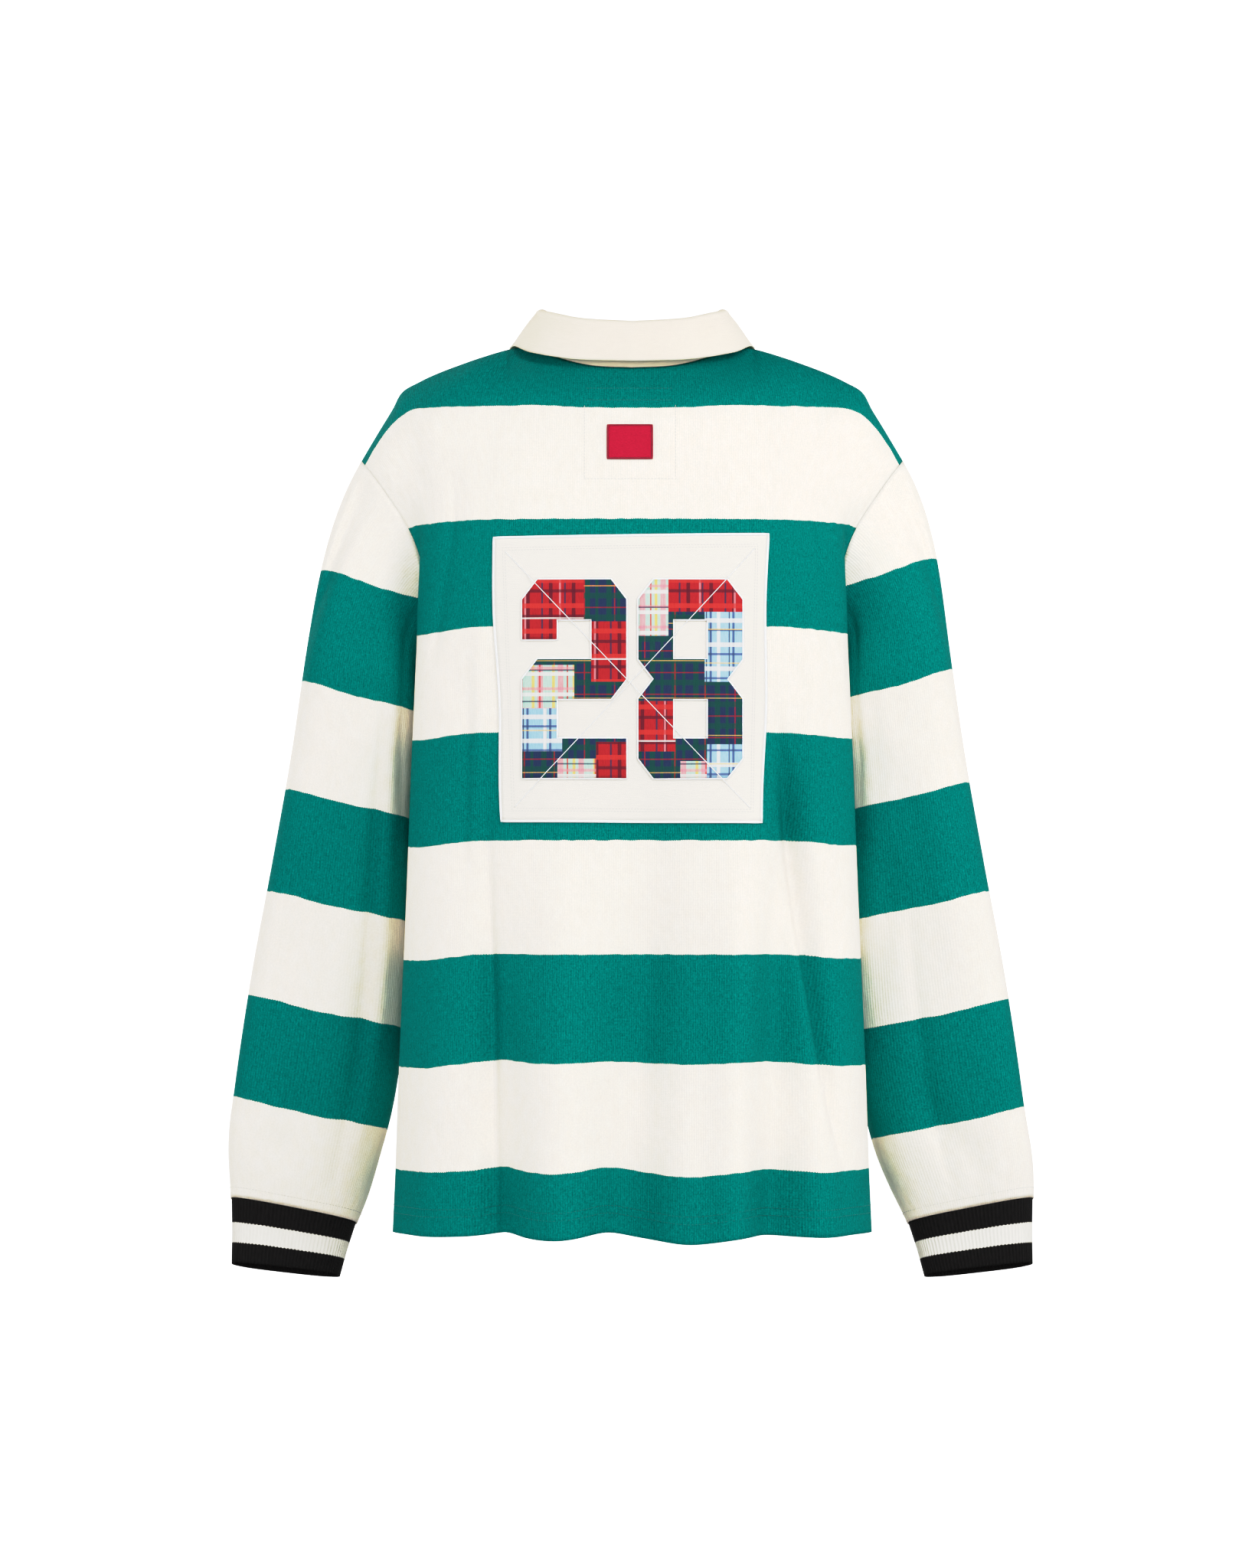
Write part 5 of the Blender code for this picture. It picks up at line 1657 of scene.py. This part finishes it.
def cell_parts(mark):
    """The corners of a cell's parts, as places in it, for a mark of a figure's chart."""
    parts = []
    for a in range(FINE):
        for b in range(FINE):
            square = [(a, b), (a + 1, b), (a + 1, b + 1), (a, b + 1)]
            x, y = (a if mark in "TR" else FINE - 1 - a), (b if mark in "LR" else FINE - 1 - b)
            if mark == "#" or x + y > FINE - 1:
                parts.append(square)
            elif x + y == FINE - 1:
                lost = {"R": 0, "L": 1, "F": 2, "T": 3}[mark]
                parts.append(square[:lost] + square[lost + 1 :])
    return parts


def on_figure(u, v):
    """Whether a place on the back lies on a figure."""
    y = (v - FIGURE_FOOT) / FIGURE_ROW
    x = np.interp(abs(u), FIGURE_COLUMNS, range(7), left=-1, right=-1)
    if x < 0 or not 0 <= y < FIGURE_ROWS:
        return False
    name, x = ("figure_left", 6 - x) if u > 0 else ("figure_right", x)
    return FIGURE_CHARTS[name][FIGURE_ROWS - 1 - int(y)][min(int(x), 5)] != "."


THREAD_LOW = 0.0015  # how far the crossed threads are lifted on the patch
THREAD_CLIMB = 0.0018  # and how much more on a figure


def patch_flat():
    """u and v of the patch's grid, with its sides a little wavy."""
    foot_left, top_left, top_right, foot_right = PATCH_CORNERS
    across, up = np.meshgrid(np.linspace(0, 1, 57), np.linspace(0, 1, 61))
    low = foot_right + (foot_left - foot_right) * across[..., None]
    high = top_right + (top_left - top_right) * across[..., None]
    flat = low + (high - low) * up[..., None]
    flat[..., 0] += 0.0012 * np.sin(up * 9.0 + 1.0) * np.abs(2 * across - 1) ** 8
    return flat[..., 0], flat[..., 1]


def chart_faces(chart):
    """The corners of a figure's parts, as places on its chart, and its faces."""
    spots, faces = {}, []
    for row, line in enumerate(chart[::-1]):
        for col, mark in enumerate(line):
            for part in cell_parts(mark) if mark != "." else ():
                corners = [(col * FINE + a, row * FINE + b) for a, b in part]
                faces.append([spots.setdefault(c, len(spots)) for c in corners][::-1])
    return np.array(list(spots)) / FINE, faces


def crossed_thread(back, start, end):
    """A thread from one corner of the patch towards another, which climbs over the figures."""
    places = start + (end - start) * np.linspace(0.05, 0.95, 160)[:, None]
    raised = np.array([on_figure(*place) for place in places], float)
    raised = np.convolve(np.pad(raised, 2, "edge"), np.ones(5), "valid") > 0
    raised = np.convolve(np.pad(1.0 * raised, 1, "edge"), np.ones(3) / 3, "valid")
    return back.at(places[:, 0], places[:, 1], THREAD_LOW + THREAD_CLIMB * raised)


class SHIRT_OT_number(Build, bpy.types.Operator):
    """Number on the back: a twill patch, patchwork figures, satin edges and crossed threads"""

    bl_idname = "shirt.number"
    bl_label = "Number"

    def execute(self, context):
        s = context.scene.shirt
        back, _ = panels()
        rgb = tuple(s.patch)
        cloth = material("patch_cloth", twill, rgb, rgb, pitch=0.0013, tone=0.07)
        satin = satin_white()

        u, v = patch_flat()
        patch = laid_cloth(
            "number_patch", back, u, v, PATCH_LIFT, cloth, PATCH_CLOTH
        )
        flat = np.stack([u, v], axis=-1)
        border = np.concatenate([flat[0, :-1], flat[:-1, -1], flat[-1, :0:-1], flat[:0:-1, 0]])
        line = cloth_line(back, border, 0.003, PATCH_LIFT - HAIR, loop=True)
        edge = swept("patch_satin_edge", [line], PATCH_SATIN, satin, loop=True)

        plaid = material("patchwork", patchwork)
        figures, outlines = [], []
        for name, chart in FIGURE_CHARTS.items():
            places, faces = chart_faces(chart)
            u, v = figure_flat(name, places[:, 0], places[:, 1])
            points, _ = back.at(u, v, FIGURE_LIFT)
            uvs = [(u[k], v[k]) for face in faces for k in face]
            piece = new_piece(name + "_cloth", points, faces, plaid, uvs=uvs)
            stand_in(piece, name, FINE_CLOTH)
            figures.append(piece)
            for outline in FIGURES[name]:
                corners = np.stack(figure_flat(name, *np.array(outline, float).T), axis=1)
                outlines.append(cloth_line(back, corners, 0.003, FIGURE_LIFT - HAIR, loop=True))
        swept("figure_satin_edges", outlines, FIGURE_SATIN, satin, loop=True)

        crossed = [crossed_thread(back, start, end) for start, end in PATCH_DIAGONALS]
        swept("patch_crossed_threads", crossed, CROSSED_THREAD, satin)
        return {"FINISHED"}


class SHIRT_OT_label(Build, bpy.types.Operator):
    """Bare woven label below the collar"""

    bl_idname = "shirt.label"
    bl_label = "Label"

    def execute(self, context):
        s = context.scene.shirt
        back, _ = panels()
        cloth = material("woven_label", woven_label, tuple(s.label_red))
        overlock = material("label_overlock", thread, darker(s.label_red, 0.62))
        u, v = np.meshgrid(
            even(LABEL_RIGHT, LABEL_LEFT, 0.002), even(LABEL_FOOT, LABEL_TOP, 0.002)
        )
        piece = laid_cloth("label", back, u, v, LABEL_LIFT, cloth, FINE_CLOTH)
        corners = [
            (LABEL_RIGHT, LABEL_FOOT),
            (LABEL_LEFT, LABEL_FOOT),
            (LABEL_LEFT, LABEL_TOP),
            (LABEL_RIGHT, LABEL_TOP),
        ]
        line = cloth_line(back, corners, 0.002, LABEL_LIFT - HAIR, loop=True)
        edge = swept("label_edge", [line], LABEL_OVERLOCK, overlock, loop=True)
        return {"FINISHED"}


# Rows of stitches: heights of the hem's, (height, left, right) of the yoke's, the corners of its
# box, height of the cuff's, and distances in from the edges of the placket and the patch.
HEM_ROWS = (0.0165, 0.0228)
YOKE_ROWS = ((0.7139, 0.0390, -0.0344), (0.6994, 0.0395, -0.0350))
YOKE_BOX = ((0.0400, 0.6940), (0.0400, 0.6316), (-0.0362, 0.6316), (-0.0362, 0.6940))
CUFF_ROW = 0.0085
PLACKET_ROW = 0.0024
PATCH_ROWS = (0.0085, 0.0105)


class SHIRT_OT_sewing(Build, bpy.types.Operator):
    """Stitching of the hem, yoke, patch, placket and cuffs"""

    bl_idname = "shirt.sewing"
    bl_label = "Sewing"

    def execute(self, context):
        s = context.scene.shirt
        back, front = panels()
        green = material("thread_green", thread, darker(s.green, 0.9), sheen=0.0)
        cream = material("thread_cream", thread, darker(s.cream, 0.62))

        end = SIDE_COLUMN - 0.001
        hem = [
            cloth_line(panel, [(-end, height), (end, height)], 0.006)
            for panel in (back, front)
            for height in HEM_ROWS
        ]
        stitches("hem_stitching", hem, green, pitch=0.0032, length=0.0024)

        yoke = [
            cloth_line(back, [(left, height), (right, height)], 0.004)
            for height, left, right in YOKE_ROWS
        ]
        stitches("yoke_stitching", yoke, green, pitch=0.0028)
        box = [cloth_line(back, YOKE_BOX, 0.004)]
        stitches("yoke_stitching_light", box, cream, pitch=0.0028)

        top = placket_top(front)
        side, foot = PLACKET_HALF - PLACKET_ROW, top - PLACKET_LENGTH + PLACKET_ROW
        box_top = foot + 2 * side
        light = [ring_line(grid, v, CUFF_ROW, arm) for grid, _, v, arm in sleeves().values()]
        light += [
            cloth_line(front, corners, 0.004, PLACKET_LIFT + HAIR)
            for corners in (
                [(side, top - 0.002), (side, foot), (-side, foot), (-side, top - 0.002)],
                [(-side, foot), (side, box_top), (-side, box_top), (side, foot)],
            )
        ]
        stitches("cuff_and_placket_stitching", light, cream, pitch=0.0028)

        outwards = np.sign(PATCH_CORNERS - PATCH_CORNERS.mean(axis=0))
        rows = []
        for inset in PATCH_ROWS:
            corners = PATCH_CORNERS - inset * outwards
            rows.append(cloth_line(back, [*corners, corners[0]], 0.004, PATCH_LIFT))
        stitches(
            "patch_stitching", rows, cream, pitch=0.0026, length=0.0018,
            width=0.0005, rise=0.0002,
        )
        return {"FINISHED"}


# ---------------------------------------------------------------- panel and registration


class SHIRT_PT_panel(bpy.types.Panel):
    """Sizes, colours and the steps that build the shirt"""

    bl_label = "Rugby Shirt"
    bl_space_type = "VIEW_3D"
    bl_region_type = "UI"
    bl_category = "Shirt"

    def draw(self, context):
        for group in (context.scene.shirt, context.scene.stage):
            box = self.layout.box()
            for name in group.bl_rna.properties.keys():
                if name not in ("rna_type", "name"):
                    box.prop(group, name)
        for operator in OPERATORS:
            self.layout.operator(operator.bl_idname)


OPERATORS = (
    SHIRT_OT_stage,
    SHIRT_OT_body,
    SHIRT_OT_sleeves,
    SHIRT_OT_cuffs,
    SHIRT_OT_collar,
    SHIRT_OT_placket,
    SHIRT_OT_number,
    SHIRT_OT_label,
    SHIRT_OT_sewing,
)
CLASSES = (ShirtSettings, StageSettings, *OPERATORS, SHIRT_PT_panel)


def register():
    for cls in CLASSES:
        bpy.utils.register_class(cls)
    bpy.types.Scene.shirt = bpy.props.PointerProperty(type=ShirtSettings)
    bpy.types.Scene.stage = bpy.props.PointerProperty(type=StageSettings)


def unregister():
    del bpy.types.Scene.stage
    del bpy.types.Scene.shirt
    for cls in reversed(CLASSES):
        bpy.utils.unregister_class(cls)


def main():
    register()
    bpy.ops.shirt.stage()
    bpy.ops.shirt.body()
    bpy.ops.shirt.sleeves()
    bpy.ops.shirt.cuffs()
    bpy.ops.shirt.collar()
    bpy.ops.shirt.placket()
    bpy.ops.shirt.number()
    bpy.ops.shirt.label()
    bpy.ops.shirt.sewing()
    bpy.context.view_layer.update()


if __name__ == "__main__":
    main()
